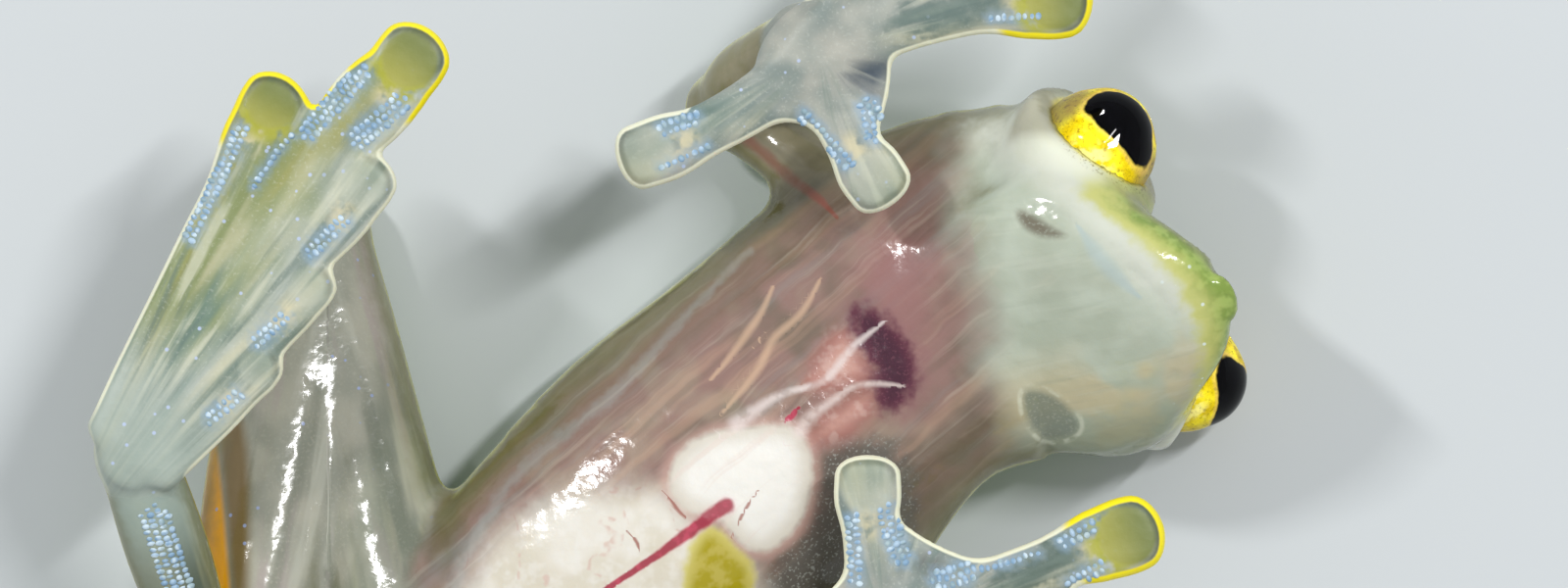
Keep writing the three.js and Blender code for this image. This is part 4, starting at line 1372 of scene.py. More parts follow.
    # Vessels and white tendons
    vein = paint.layer(colour(150, 12, 50), colour(184, 48, 80), paint.share(paint.step(medium[0], 0.48, 0.64), 0.8))
    tone = paint.layer(tone, colour(224, 150, 164), paint.share(line("vein", 0.6, 0.9), 0.4))
    tone = paint.layer(tone, vein, paint.share(line("vein", 1.0, 0.35), 0.9))
    torn = paint.math("MULTIPLY_ADD", paint.step(medium[2], 0.4, 0.55), 0.35, 0.45)
    tone = paint.layer(tone, colour(214, 198, 192), paint.both(line("tendon_low", 0.4, 0.95), torn, 0.9))
    return paint.layer(tone, colour(220, 208, 204), paint.both(line("tendon", 0.4, 0.95), torn, 0.9))


# %% [markdown]
# ### Throat, lips and head
# The throat is a milky grey green drum. A pale lip runs round it, two dark windows show beside the
# jaw, and in front of the eyes the lime green of the back begins.

# %% Throat and head
def paint_head(paint, below, broad, medium, fine, specks):
    ahead, aside, over = paint.parts(paint.kept("skull", out=1))
    throat = paint.step(paint.math("MULTIPLY_ADD", broad[0], 1.8, paint.kept("throat")), 0.1, 2.2)
    drum = paint.layer(colour(170, 178, 160), colour(184, 192, 176), paint.step(broad[1], 0.36, 0.66))
    warm = paint.both(paint.step(broad[2], 0.42, 0.6), paint.step(aside, -0.6, 1.8))
    drum = paint.layer(drum, colour(196, 184, 150), paint.share(warm, 0.8))
    drum = paint.layer(drum, colour(132, 140, 110), paint.share(paint.step(aside, 1.8, 3.6), 0.65))
    lines = {"Place": paint.kept("skull", out=1), "Stretch": (0.22, 2.6, 1.2)}
    wrinkle = paint.parts(paint.group(STREAKS, lines))
    drum = paint.layer(drum, colour(204, 208, 192), paint.share(paint.step(wrinkle[0], 0.53, 0.7), 0.22))
    drum = paint.layer(drum, colour(146, 156, 138), paint.share(paint.step(wrinkle[1], 0.54, 0.7), 0.18))
    tone = paint.layer(below, drum, throat)
    # White flesh over the jaw and up to the right eye
    lip = paint.step(paint.math("MULTIPLY_ADD", medium[0], 0.5, paint.kept("lip")), -0.35, 0.95)
    tone = paint.layer(tone, colour(206, 208, 196), paint.share(lip, 0.8))
    for name, tint, bright in (("window_right", colour(104, 94, 78), 0.1), ("window_left", colour(120, 128, 114), 0.55)):
        depth = paint.kept(name)
        edge = paint.both(paint.step(depth, -0.16, -0.05), paint.step(depth, 0.06, -0.02), paint.step(medium[1], 0.4, 0.6))
        pane = paint.layer(tint, colour(158, 162, 148), paint.share(paint.step(fine, 0.52, 0.7), 0.5))
        tone = paint.layer(tone, pane, paint.share(paint.step(depth, -0.1, 0.22), 0.85))
        tone = paint.layer(tone, colour(214, 216, 196), paint.share(edge, bright))
    beside, past, _ = paint.parts(paint.kept("ribbon", out=1))
    slit = paint.math("SQRT", paint.math("ADD", paint.both(beside, beside), paint.both(past, past)))
    slit = paint.both(paint.step(slit, 1.9, 0.2), paint.step(paint.kept("throat"), 0.0, 0.3))
    tone = paint.layer(tone, colour(168, 184, 184), paint.share(slit, 0.6))
    # Green in front of the eyes: yellow along its inner side
    rise = paint.math("MULTIPLY_ADD", medium[1], 0.5, paint.math("MULTIPLY_ADD", ahead, 0.19, over))
    front = paint.step(paint.math("MULTIPLY_ADD", medium[0], 0.6, ahead), 4.2, 4.9)
    yellow = paint.both(paint.step(rise, 0.55, 1.0), front)
    tone = paint.layer(tone, colour(190, 190, 100), paint.share(yellow, 0.85))
    green = paint.both(paint.step(rise, 0.85, 1.6), paint.step(paint.math("MULTIPLY_ADD", medium[1], 1.2, ahead), 4.9, 6.4))
    grass = paint.layer(colour(118, 144, 62), colour(150, 172, 90), paint.step(medium[2], 0.42, 0.62))
    tone = paint.layer(tone, grass, paint.share(green, 0.92))
    frost = paint.both(specks, paint.step(rise, 0.3, 0.7), paint.step(rise, 1.7, 1.2), front)
    tone = paint.layer(tone, colour(214, 226, 226), paint.share(frost, 0.8))
    # Round the eye the skin is milky, with a thin yellow edge and a few freckles
    lid = paint.kept("lid")
    milk = paint.both(paint.step(lid, 1.15, 0.5), paint.step(ahead, 4.9, 4.1), paint.step(paint.math("ADD", over, broad[0]), 4.4, 3.2))
    tone = paint.layer(tone, colour(226, 228, 210), paint.share(milk, 0.85))
    tone = paint.layer(tone, colour(214, 204, 96), paint.share(paint.step(lid, 0.26, 0.08), 0.85))
    freckles = paint.both(paint.step(lid, 0.6, 0.2), paint.step(fine, 0.56, 0.66), paint.step(ahead, 3.0, 4.2))
    return paint.layer(tone, colour(112, 104, 44), paint.share(freckles, 0.7))


# %% [markdown]
# ### Legs, hands and feet
# The flesh of the legs is grey and see-through, streaked along the bone. Hands and feet are clear
# sheets with a bright rim, painted as the glow of light through the thin edge, darker discs, and
# bands of pale blue cells down both sides of each digit.

# %% Legs and arms
def paint_limbs(paint, below, broad, medium, fine, specks):
    left, beside, above = paint.parts(paint.kept("limb", out=1))
    run = paint.node("CombineXYZ", {0: beside, 1: left, 2: above})
    streak = paint.parts(paint.group(STREAKS, {"Place": run, "Stretch": (1.1, 0.1, 1.1)}))
    tone = paint.layer(colour(150, 151, 138), colour(168, 166, 152), paint.step(broad[0], 0.4, 0.64))
    tone = paint.layer(tone, colour(192, 192, 178), paint.share(paint.step(streak[0], 0.5, 0.66), 0.6))
    tone = paint.layer(tone, colour(114, 118, 104), paint.share(paint.step(streak[1], 0.5, 0.66), 0.6))
    tone = paint.layer(tone, colour(164, 148, 150), paint.share(paint.step(streak[2], 0.52, 0.68), 0.5))
    tone = paint.layer(tone, colour(180, 178, 162), paint.share(paint.step(fine, 0.5, 0.76), 0.25))
    tone = paint.layer(tone, colour(124, 98, 50), paint.share(paint.step(paint.kept("brown"), -0.15, 0.3), 0.85))
    tone = paint.layer(tone, colour(236, 164, 8), paint.step(paint.kept("amber"), -0.06, 0.16))
    tone = paint.layer(tone, colour(158, 172, 216), paint.share(specks, 0.8))
    # The tarsus is greener, dark on the side of the shank
    shin = paint.layer(colour(124, 130, 112), colour(82, 92, 76), paint.step(beside, -0.1, 0.5))
    shin = paint.layer(shin, colour(160, 158, 120), paint.share(paint.step(streak[0], 0.5, 0.66), 0.5))
    ankle = paint.step(paint.math("MODULO", left, LIMB_SHIFT), 4.6, 1.4)
    shin = paint.layer(shin, colour(156, 170, 160), paint.share(ankle, 0.85))
    tone = paint.layer(tone, shin, paint.kept("tarsus"))
    result = paint.layer(below, tone, paint.kept("leg"))
    arm = paint.layer(colour(138, 132, 106), colour(164, 156, 130), paint.step(broad[1], 0.38, 0.62))
    arm = paint.layer(arm, colour(116, 112, 96), paint.share(paint.step(streak[1], 0.5, 0.66), 0.5))
    result = paint.layer(result, arm, paint.share(paint.kept("arm"), 0.9))
    return paint.layer(result, colour(146, 84, 70), paint.share(line_mask(paint, medium, "vessel", 0.9, 0.8), 0.6))


# %% Silhouettes and the back
def paint_back(paint, below, under, broad, medium):
    uneven = paint.math("MULTIPLY_ADD", medium[0], 0.26, under)
    tone = paint.layer(below, colour(104, 102, 50), paint.share(paint.step(uneven, 0.95, 0.5), 0.6))
    # Where the back begins the skin is yellow; along the silhouette this band is also painted bright for the glow of
    # light through the thin edge
    tone = paint.layer(tone, colour(186, 184, 82), paint.share(paint.step(uneven, 0.42, 0.2), 0.85))
    lime = paint.layer(colour(108, 154, 50), colour(142, 178, 72), paint.step(broad[0], 0.35, 0.65))
    spots = paint.step(paint.math("MULTIPLY_ADD", broad[2], 0.4, medium[1]), 0.76, 0.82)
    lime = paint.layer(lime, colour(208, 214, 108), paint.share(spots, 0.85))
    return paint.layer(tone, lime, paint.step(uneven, 0.2, -0.08))


# %% Hands and feet
def paint_paws(paint, below, broad, medium, fine, specks):
    fan, foot = paint.kept("fan", out=1), paint.parts(paint.kept("foot", out=1))
    rim, pad, vivid, tip = (paint.kept(name) for name in ("rim", "pad", "vivid", "tip"))
    streaky = paint.parts(fan)[2]
    level = paint.vector("MULTIPLY", fan, (1, 1, 0))
    wide = paint.parts(paint.group(STREAKS, {"Place": level, "Stretch": (0.9, 0.12, 1)}))
    thin = paint.parts(paint.group(STREAKS, {"Place": level, "Stretch": (2.6, 0.22, 1), "Shift": (4, 2, 0)}))
    # Hands are grey and milky; feet are olive towards the outer toes and paler inside
    hand = paint.layer(colour(120, 131, 126), colour(160, 160, 150), paint.step(broad[0], 0.36, 0.66))
    hand = paint.layer(hand, colour(190, 188, 176), paint.share(paint.step(broad[2], 0.46, 0.7), 0.45))
    outer = paint.math("MULTIPLY_ADD", broad[1], 3.0, foot[0])
    outer = paint.both(paint.step(outer, 0.4, 2.6), paint.step(foot[1], 1.0, 4.5))
    sole = paint.layer(colour(172, 178, 168), colour(130, 140, 92), outer)
    tone = paint.layer(hand, sole, foot[2])
    tone = paint.layer(tone, colour(192, 188, 156), paint.both(paint.step(wide[0], 0.48, 0.66), streaky, 0.7))
    tone = paint.layer(tone, colour(84, 114, 106), paint.both(paint.step(wide[1], 0.48, 0.66), streaky, 0.8))
    tone = paint.layer(tone, colour(150, 146, 72), paint.both(paint.step(wide[2], 0.52, 0.66), outer, 0.8))
    tone = paint.layer(tone, colour(206, 206, 184), paint.both(paint.step(thin[0], 0.52, 0.68), streaky, 0.55))
    tone = paint.layer(tone, colour(84, 106, 98), paint.both(paint.step(thin[1], 0.51, 0.68), streaky, 0.65))
    tone = paint.layer(tone, colour(206, 208, 196), paint.share(paint.step(fine, 0.54, 0.8), 0.2))
    heel = paint.both(paint.step(foot[1], 3.4, 0.6), foot[2])
    tone = paint.layer(tone, colour(156, 168, 158), paint.share(heel, 0.8))
    tone = paint.layer(tone, colour(178, 192, 222), paint.share(specks, 0.8))
    for name, tint in (("dusk_right", colour(84, 104, 98)), ("dusk_left", colour(70, 90, 80))):
        dusk = paint.step(paint.math("MULTIPLY_ADD", medium[0], 1.4, paint.kept(name)), 0.45, 1.0)
        dusk = paint.both(dusk, paint.without(paint.share(paint.step(thin[0], 0.5, 0.6), 0.7)))
        tone = paint.layer(tone, tint, paint.share(dusk, 0.8))
    for name, tint in (("slate", colour(46, 62, 78)), ("slate_left", colour(70, 70, 70))):
        slate = paint.step(paint.math("MULTIPLY_ADD", wide[0], 0.9, paint.kept(name)), 0.2, 0.9)
        slate = paint.both(slate, paint.without(paint.share(paint.step(thin[1], 0.5, 0.62), 0.6)))
        tone = paint.layer(tone, tint, paint.share(slate, 0.9))
    # Down the middle of a digit the bone shows in darker flesh
    tone = paint.layer(tone, colour(112, 128, 118), paint.both(paint.kept("shaft"), paint.step(thin[2], 0.4, 0.6), 0.6))
    # Blue shadow between the pale cells
    band = paint.both(paint.kept("band"), paint.step(medium[2], 0.25, 0.6))
    tone = paint.layer(tone, colour(130, 156, 176), paint.share(band, 0.65))
    knuckle = paint.both(paint.kept("knuckle"), paint.step(medium[0], 0.36, 0.56))
    tone = paint.layer(tone, colour(206, 196, 160), paint.share(knuckle, 0.75))
    # The disc: a pad with a dark crescent inside its far edge, and yellow flesh at its root
    far_side = paint.step(tip, -0.9, 0.7)
    grey = paint.layer(colour(180, 184, 168), colour(140, 152, 132), far_side)
    olive = paint.layer(colour(158, 156, 66), colour(108, 118, 56), far_side)
    clear = paint.math("MULTIPLY_ADD", vivid, 0.45, 0.5)
    tone = paint.layer(tone, paint.layer(grey, olive, vivid), paint.both(paint.step(pad, -0.1, 0.12), clear))
    root = paint.both(paint.step(pad, -0.55, -0.1), paint.step(pad, 0.16, 0.0), paint.step(tip, 0.1, -0.6), vivid)
    tone = paint.layer(tone, colour(160, 160, 30), paint.both(root, paint.step(medium[1], 0.34, 0.56), 0.85))
    crescent = paint.both(paint.step(rim, 0.1, 0.18), paint.step(rim, 0.42, 0.22), paint.step(tip, -0.1, 0.5))
    crescent = paint.both(crescent, paint.step(pad, -0.2, -0.05), paint.math("MULTIPLY_ADD", vivid, 0.35, 0.4))
    tone = paint.layer(tone, colour(66, 76, 46), crescent)
    # Rims, thin and cream, broad and yellow round the vivid discs: painted light, the glow of light through the thin
    # edge, in the edge's own tint
    width = paint.math("MULTIPLY_ADD", foot[2], -0.03, paint.math("MULTIPLY_ADD", vivid, 0.05, 0.1))
    inner = paint.math("ADD", width, 0.07)
    edge = paint.node("MapRange", {"Value": rim, "From Min": inner, "From Max": width}, interpolation_type="SMOOTHSTEP")
    tint = paint.layer(colour(232, 232, 206), colour(246, 228, 6), paint.step(vivid, 0.35, 0.8))
    edge = paint.both(edge, paint.without(paint.both(paint.step(foot[1], 1.0, -0.2), foot[2], 0.65)))
    tone = paint.layer(tone, tint, edge)
    return paint.layer(below, tone, paint.kept("paw"))


# %% [markdown]
# ### One material for one skin
# All these paints end in a single wet skin: light sinks a little way in, and the smooth surface
# shows each lamp, broken up by a fine grain. Where hands and feet press on the pane it is duller.
# A clear coat would be smooth over the grain, because the coat has a normal of its own, so the
# shine is the skin's own. A noise costs time, so a few of them serve all the paints.

# %% The skin's material
def skin_material():
    material, paint, shader = new_material("glass_skin", colour(150, 150, 130))
    place = millimetres(paint)
    broad = paint.three_noises(place, 0.5, 2.0, 0.55)
    medium = paint.three_noises(place, 2.2, 2.0, 0.55)
    fine = paint.noise(place, 11.0, 1.0)
    specks = paint.group(SPECKLES, {"Place": place, "Scale": 2.4, "Size": 0.17, "Share": 0.35})
    tone = paint_belly(paint, place, broad, medium, fine)
    tone = paint_head(paint, tone, broad, medium, fine, specks)
    tone = paint_limbs(paint, tone, broad, medium, fine, specks)
    tone = paint_back(paint, tone, paint.kept("under"), broad, medium)
    tone = paint_paws(paint, tone, broad, medium, fine, specks)
    paint.join(shader.inputs["Base Color"], tone)
    grain = {"Place": place, "Coarse": 1.7, "Fine": 6.5, "Fine Share": 0.18, "Depth": 0.000032}
    paint.join(shader.inputs["Normal"], paint.group(WET_GRAIN, grain))
    # A smooth film, duller over the organs and where hands and feet touch the pane
    dull = paint.math("MULTIPLY_ADD", paint.kept("paw"), 0.34, paint.share(paint.step(paint.kept("lobe"), -0.3, 0.2), 0.3))
    dull = paint.math("MULTIPLY_ADD", medium[0], 0.16, paint.math("ADD", dull, 0.05))
    paint.join(shader.inputs["Roughness"], dull)
    shader.inputs["Specular IOR Level"].default_value = 0.45
    shader.inputs["Subsurface Weight"].default_value = 0.2
    shader.inputs["Subsurface Radius"].default_value = (1.0, 0.8, 0.6)
    shader.inputs["Subsurface Scale"].default_value = 0.0004
    return material


# %% [markdown]
# ## Cells along the digits
# Down the sides of each digit lie rows of small glands, like pale blue cobbles. A row is a line on
# the skin, so Geometry Nodes can walk along it and set a cobble at each step, each a little
# different. The cobbles are half sunk, with only a few dozen faces each.

# %% Rows of cells
CELL_SPACING, ROW_SPACING, CELL_SINK = 0.185, 0.22, 0.065
# Bands on the foot: start and end along and beside its axis, and the rows side by side
FOOT_BANDS = [
    [(12.95, 1.12), (11.5, 1.25), (10.1, 1.42), 3],
    [(12.9, -0.32), (11.9, -0.12), (10.8, 0.15), 3],
    [(9.5, 3.0), (7.6, 2.64), (5.7, 2.32), 2],
    [(10.0, 1.75), (9.1, 1.78), (8.2, 1.75), 1],
    [(9.1, -1.0), (8.2, -0.86), (7.4, -0.7), 2],
    [(5.8, -1.24), (5.1, -1.1), (4.4, -0.95), 2],
    [(3.2, -1.5), (2.5, -1.35), (1.8, -1.16), 2],
]
# Bands on the hands that the photograph shows, each through a few of its pixels
HAND_BANDS = [
    [(671, 137), (692, 128), (716, 122), 2],
    [(675, 171), (698, 161), (722, 150), 1],
    [(815, 114), (842, 142), (870, 174), 2],
    [(882, 100), (889, 124), (893, 148), 3],
    [(869, 520), (872, 558), (873, 598), 2],
    [(904, 510), (910, 545), (924, 576), 3],
    [(948, 592), (970, 588), (996, 578), 3],
    [(1001, 580), (1030, 572), (1058, 563), 1],
    [(1078, 555), (1098, 545), (1118, 533), 2],
    [(1086, 598), (1106, 586), (1127, 573), 2],
    [(1010, 20), (1035, 19), (1058, 18), 1],
]
# Fingers that the photograph doesn't show have one row down each side
HIDDEN_FINGERS = {"left": (0, 3), "right": (3,)}
HIDDEN_BAND, HIDDEN_ASIDE = (0.95, 3.6), 0.62


def side_by_side(stops, count):
    """Rows of places next to one another along a band, every other one shifted by half a cell."""
    line = limb(stops, [1.0, 1.0], count=24)
    length = np.linalg.norm(np.diff(line.path, axis=0), axis=1).sum()
    rows = []
    for row in range(count):
        shift = CELL_SPACING / length * (0.5 * (row % 2) + 1.2 * abs(row - (count - 1) / 2))
        t = np.linspace(shift, 1 - shift, 40) * (len(line.path) - 1)
        aside = (row - (count - 1) / 2) * ROW_SPACING
        rows.append(line.at(line.path, t) + aside * line.at(line.across, t))
    return rows


def band_rows():
    """Lines of places, each along one row of cells."""
    rows = []
    for leg in LEGS.values():
        for *stops, count in FOOT_BANDS:
            rows += side_by_side([on_foot(leg, *stop) for stop in stops], count)
    for *stops, count in HAND_BANDS:
        rows += side_by_side([(*photo(*stop), PANE_Z) for stop in stops], count)
    for name, parts in zip(SIDES, limbs[:2]):
        for number in HIDDEN_FINGERS[name]:
            form = parts["digits"][number]
            back = np.array(HIDDEN_BAND) / np.linalg.norm(form.path[1] - form.path[0])
            t = len(form.path) - 1 - np.linspace(*back, 4)
            for side in (HIDDEN_ASIDE, -HIDDEN_ASIDE):
                rows += side_by_side(form.at(form.path, t) + side * form.at(form.across, t), 1)
    for parts in limbs[2:]:
        tarsus, _ = parts["leg"][2]
        t = np.linspace(0.2, 0.82, 5) * (len(tarsus.path) - 1)
        rows += side_by_side(tarsus.at(tarsus.path, t), 4)
    return rows


skin_tree = BVHTree.FromPolygons(skin_points.tolist(), skin_quads.tolist())
BAND_HALF = 0.3


def on_skin(place, sink):
    """The place straight above on the skin, and whether it faces the viewer."""
    found = skin_tree.ray_cast(Vector((place[0], place[1], PANE_Z + 1)), Vector((0, 0, -1)))
    return (np.array(found[0]) - (0, 0, sink)) if found[0] and found[1].z > 0.85 else None


def lines_on_skin(rows):
    """Points and edges of lines laid on the skin, broken where it turns away."""
    points, edges = [], []
    for row in rows:
        before = None
        for place in row:
            spot = on_skin(place, CELL_SINK)
            if spot is None:
                before = None
                continue
            if before is not None:
                edges.append((before, len(points)))
            before = len(points)
            points.append(spot)
    return np.array(points), edges


row_points, row_edges = lines_on_skin(band_rows())
band_tree = KDTree(len(row_points))
for i, place in enumerate(row_points):
    band_tree.insert(place, i)
band_tree.balance()
band = np.zeros(len(skin_points))
for i in np.flatnonzero((np.maximum(paw_share, leg_far < 0.3) > 0) & (facing > 0)):
    band[i] = eased(-band_tree.find(skin_points[i])[2], -BAND_HALF, -0.4 * BAND_HALF)
add_attribute(skin, "band", band)
print("rows of cells have", len(row_points), "points and", len(row_edges), "edges")


def cell_tree():
    """Geometry Nodes that set a cobble at even steps along lines."""
    tree = bpy.data.node_groups.new("cells_along_lines", "GeometryNodeTree")
    inputs = {
        "Lines": ("Geometry", None),
        "Spacing": ("Float", CELL_SPACING * MM),
        "Cell Size": ("Vector", (0, 0, 0)),
        "Unevenness": ("Float", 0.25),
        "Wander": ("Float", 0.00002),
        "Seed": ("Int", 4),
        "Material": ("Material", None),
    }
    for name, (kind, value) in inputs.items():
        socket = tree.interface.new_socket(name, in_out="INPUT", socket_type="NodeSocket" + kind)
        if value is not None:
            socket.default_value = value
    tree.interface.new_socket("Cells", in_out="OUTPUT", socket_type="NodeSocketGeometry")
    wires = Wires(tree)
    given = tree.nodes.new("NodeGroupInput").outputs
    lines = wires.make("GeometryNodeMeshToCurve", {"Mesh": given["Lines"]})
    lines = wires.make("GeometryNodeResampleCurve", {"Curve": lines, "Length": given["Spacing"]}, mode="LENGTH")
    low = wires.make("ShaderNodeMath", {0: 1.0, 1: given["Unevenness"]}, operation="SUBTRACT")
    high = wires.make("ShaderNodeMath", {0: 1.0, 1: given["Unevenness"]}, operation="ADD")
    scale = wires.make("FunctionNodeRandomValue", {0: low, 1: high, "Seed": given["Seed"]}, data_type="FLOAT_VECTOR")
    back = wires.make("ShaderNodeMath", {0: given["Wander"], 1: -1.0}, operation="MULTIPLY")
    values = {0: back, 1: given["Wander"], "Seed": given["Seed"]}
    wander = wires.make("FunctionNodeRandomValue", values, data_type="FLOAT_VECTOR")
    level = wires.make("ShaderNodeVectorMath", {0: wander, 1: (1.0, 1.0, 0.0)}, operation="MULTIPLY")
    lines = wires.make("GeometryNodeSetPosition", {"Geometry": lines, "Offset": level})
    ball = wires.make("GeometryNodeMeshUVSphere", {"Segments": 8, "Rings": 5, "Radius": 0.5})
    ball = wires.make("GeometryNodeTransform", {"Geometry": ball, "Scale": given["Cell Size"]})
    tangent = wires.make("GeometryNodeInputTangent", {})
    turn = wires.make("FunctionNodeAlignRotationToVector", {"Vector": tangent}, axis="X", pivot_axis="Z")
    values = {"Points": lines, "Instance": ball, "Rotation": turn, "Scale": scale}
    cells = wires.make("GeometryNodeInstanceOnPoints", values)
    cells = wires.make("GeometryNodeRealizeInstances", {"Geometry": cells})
    cells = wires.make("GeometryNodeSetShadeSmooth", {"Geometry": cells})
    cells = wires.make("GeometryNodeSetMaterial", {"Geometry": cells, "Material": given["Material"]})
    tree.links.new(cells, tree.nodes.new("NodeGroupOutput").inputs[0])
    return tree


def cell_material():
    material, paint, shader = new_material("blue_cells", colour(150, 185, 215))
    place = millimetres(paint)
    kinds = paint.three_noises(place, 3.4, 1.0)
    tone = paint.layer(colour(128, 160, 188), colour(168, 192, 212), paint.step(kinds[0], 0.36, 0.62))
    tone = paint.layer(tone, colour(204, 220, 228), paint.share(paint.step(kinds[1], 0.52, 0.64), 0.8))
    tone = paint.layer(tone, colour(142, 162, 158), paint.share(paint.step(kinds[2], 0.5, 0.66), 0.6))
    paint.join(shader.inputs["Base Color"], tone)
    grain = {"Place": place, "Coarse": 6.0, "Fine": 14.0, "Fine Share": 0.3, "Depth": 0.000004}
    paint.join(shader.inputs["Normal"], paint.group(WET_GRAIN, grain))
    shader.inputs["Roughness"].default_value = 0.5
    shader.inputs["Specular IOR Level"].default_value = 0.3
    shader.inputs["Coat Weight"].default_value = 0.1
    shader.inputs["Coat Roughness"].default_value = 0.2
    return material


def grown(piece, tree, values):
    """Gives a piece the mesh that a Geometry Nodes tree makes of it, and drops the modifier."""
    modifier = piece.modifiers.new(tree.name, "NODES")
    modifier.node_group = tree
    for socket in tree.interface.items_tree:
        if socket.name in values:
            modifier[socket.identifier] = values[socket.name]
    bpy.context.view_layer.update()
    made = bpy.data.meshes.new_from_object(piece.evaluated_get(bpy.context.evaluated_depsgraph_get()))
    piece.modifiers.remove(modifier)
    piece.data = made
    return piece


CELL_SIZE = (0.225 * MM, 0.29 * MM, 0.2 * MM)
lines_mesh = bpy.data.meshes.new("cells")
lines_mesh.from_pydata(((row_points - BOX_MIDDLE) * MM).tolist(), row_edges, [])
cells = bpy.data.objects.new("cells", lines_mesh)
bpy.context.collection.objects.link(cells)
grown(cells, cell_tree(), {"Spacing": CELL_SPACING * MM, "Cell Size": CELL_SIZE, "Material": cell_material()})
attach(cells, "root")
print("cells have", len(cells.data.polygons), "faces")

# %% [markdown]
# ## Eye paint
# The iris is gold with a brown net, paler in the middle of its lower half and dull at the two
# corners. The pupil is a wide lying oval with an uneven lower edge. A clear coat stands for the
# cornea, so lamps show in it as small sharp marks.

# %% The eye's material
PUPIL_AT, PUPIL_HALF = (0.12, -0.3), (0.72, 0.42)


def eye_material():
    material, paint, shader = new_material("gold_eye", colour(225, 190, 20))
    place = millimetres(paint)
    local = paint.kept("eye", out=1)
    x, y, z = paint.parts(local)
    across = paint.math("ABSOLUTE", paint.math("SUBTRACT", x, PUPIL_AT[0]))
    over = paint.math("SUBTRACT", y, PUPIL_AT[1])
    medium = paint.three_noises(local, 3.6, 2.0)
    flecks = paint.three_noises(local, 12.0, 2.0, 0.6)
    wave = paint.math("MULTIPLY_ADD", medium[0], 0.2, -0.1)
    long = paint.math("POWER", paint.math("DIVIDE", across, PUPIL_HALF[0]), 2.0)
    short = paint.math("POWER", paint.math("DIVIDE", over, PUPIL_HALF[1]), 2.0)
    oval = paint.math("ADD", paint.math("SQRT", paint.math("ADD", long, short)), wave)
    oval = paint.math("ADD", oval, paint.step(z, 0.2, -0.2))
    tone = paint.layer(colour(214, 186, 8), colour(240, 222, 34), paint.step(medium[1], 0.38, 0.6))
    pale = paint.both(paint.step(across, 0.66, 0.2), paint.step(medium[2], 0.46, 0.58), paint.step(oval, 1.2, 1.5))
    tone = paint.layer(tone, colour(248, 240, 150), paint.share(pale, 0.8))
    net = paint.step(paint.math("ABSOLUTE", paint.math("SUBTRACT", flecks[0], 0.5)), 0.035, 0.0)
    net = paint.either(paint.share(net, 0.55), paint.step(flecks[1], 0.56, 0.68))
    amount = paint.math("MULTIPLY_ADD", paint.step(across, 0.25, 0.8), 0.45, 0.5)
    tone = paint.layer(tone, colour(118, 88, 10), paint.both(net, amount))
    corner = paint.both(paint.step(across, 0.6, 0.84), paint.step(paint.math("ABSOLUTE", over), 0.5, 0.2))
    tone = paint.layer(tone, colour(110, 96, 72), paint.share(corner, 0.75))
    tone = paint.layer(tone, colour(214, 176, 104), paint.share(paint.step(oval, 1.12, 1.04), 0.45))
    tone = paint.layer(tone, colour(176, 148, 24), paint.share(paint.step(z, 0.25, 0.05), 0.8))
    tone = paint.layer(tone, colour(3, 3, 5), paint.step(oval, 1.03, 0.97))
    paint.join(shader.inputs["Base Color"], tone)
    grain = {"Place": place, "Coarse": 2.0, "Fine": 6.0, "Fine Share": 0.2, "Depth": 0.000002}
    paint.join(shader.inputs["Normal"], paint.group(WET_GRAIN, grain))
    shader.inputs["Roughness"].default_value = 0.4
    shader.inputs["Specular IOR Level"].default_value = 0.0
    shader.inputs["Coat Weight"].default_value = 1.0
    shader.inputs["Coat Roughness"].default_value = 0.02
    shader.inputs["Coat IOR"].default_value = 1.18
    return material


gold_eye = eye_material()
for piece in eyes.values():
    piece.data.materials.append(gold_eye)
skin.data.materials.append(skin_material())
print("materials:", [material.name for material in bpy.data.materials if material.use_nodes][:6])

# %% [markdown]
# ## Floor, camera and light
# The floor is plain and pale. The camera looks straight down from far off, as through the pane. Two
# lamps give the small marks on wet skin, a third one the mark in the eye, and an even sky fills
# the shadows.

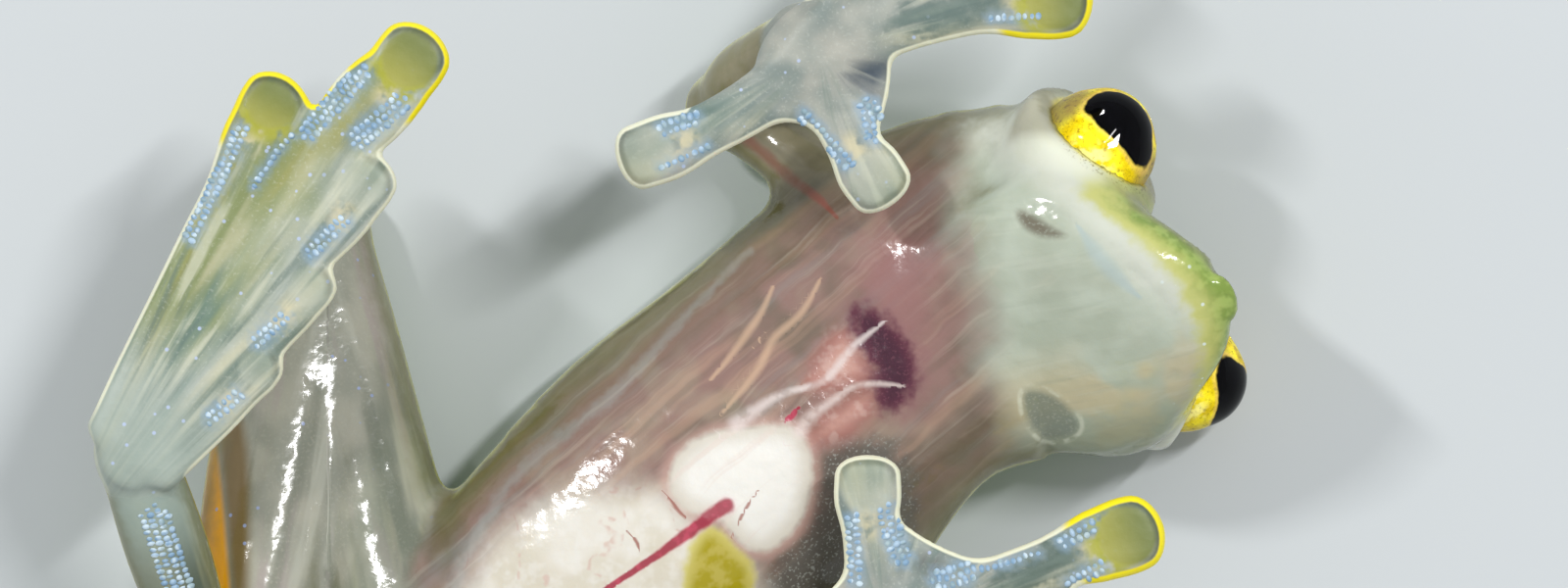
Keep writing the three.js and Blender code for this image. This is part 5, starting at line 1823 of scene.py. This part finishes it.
# %% Floor
floor = new_object("floor", [[-400, -400, 0], [400, -400, 0], [400, 400, 0], [-400, 400, 0]], [[0, 1, 2, 3]])
floor_material, floor_paint, floor_shader = new_material("pale_floor", colour(200, 203, 205))
floor_tone = floor_paint.noise(millimetres(floor_paint), 0.05, 2.0)
floor_paint.join(floor_shader.inputs["Base Color"], floor_paint.layer(colour(188, 193, 196), colour(196, 200, 202), floor_tone))
floor_shader.inputs["Roughness"].default_value = 0.6
floor.data.materials.append(floor_material)

# %% Camera and lights
CAMERA_HEIGHT = 600
FOCUS_Z = 6.0
camera_data = bpy.data.cameras.new("camera")
camera_data.sensor_width = 36
camera_data.lens = 36 * (CAMERA_HEIGHT - FOCUS_Z) / (PHOTO_WIDTH / PIXELS_PER_MM)
camera_data.clip_start = 0.01
camera_data.clip_end = 10
camera = bpy.data.objects.new("camera", camera_data)
bpy.context.collection.objects.link(camera)
camera.location = (np.array([0, 0, CAMERA_HEIGHT]) - BOX_MIDDLE) * MM
bpy.context.scene.camera = camera


def softbox(name, place, size, power):
    data = bpy.data.lights.new(name, "AREA")
    data.shape = "RECTANGLE"
    data.size, data.size_y = size[0] * MM, size[1] * MM
    data.energy = power
    lamp = bpy.data.objects.new(name, data)
    bpy.context.collection.objects.link(lamp)
    at = (np.array(place, float) - BOX_MIDDLE) * MM
    lamp.location = at
    aim = Vector(-np.array([0, 0, 5 * MM]) + at)
    lamp.rotation_euler = aim.to_track_quat("Z", "Y").to_euler()
    return lamp


def for_eyes_only(lamp):
    """A lamp that shows in the eyes and lights nothing else."""
    collection = bpy.data.collections.new(lamp.name)
    for piece in eyes.values():
        collection.objects.link(piece)
    lamp.light_linking.receiver_collection = collection
    lamp.visible_diffuse = False


softbox("key_left", (-184, 136, 300), (20, 54), 0.52)
softbox("key_right", (125, 95, 320), (15, 120), 0.62)
for_eyes_only(softbox("eye_light_high", (-114, 510, 300), (200, 90), 36.0))
for_eyes_only(softbox("eye_light_low", (176, 40, 300), (60, 110), 9.0))
bpy.context.scene.view_settings.view_transform = "Standard"
world = bpy.data.worlds.new("studio")
world.use_nodes = True
world.node_tree.nodes["Background"].inputs["Color"].default_value = (0.95, 0.98, 1.0, 1.0)
world.node_tree.nodes["Background"].inputs["Strength"].default_value = 0.56
bpy.context.scene.world = world
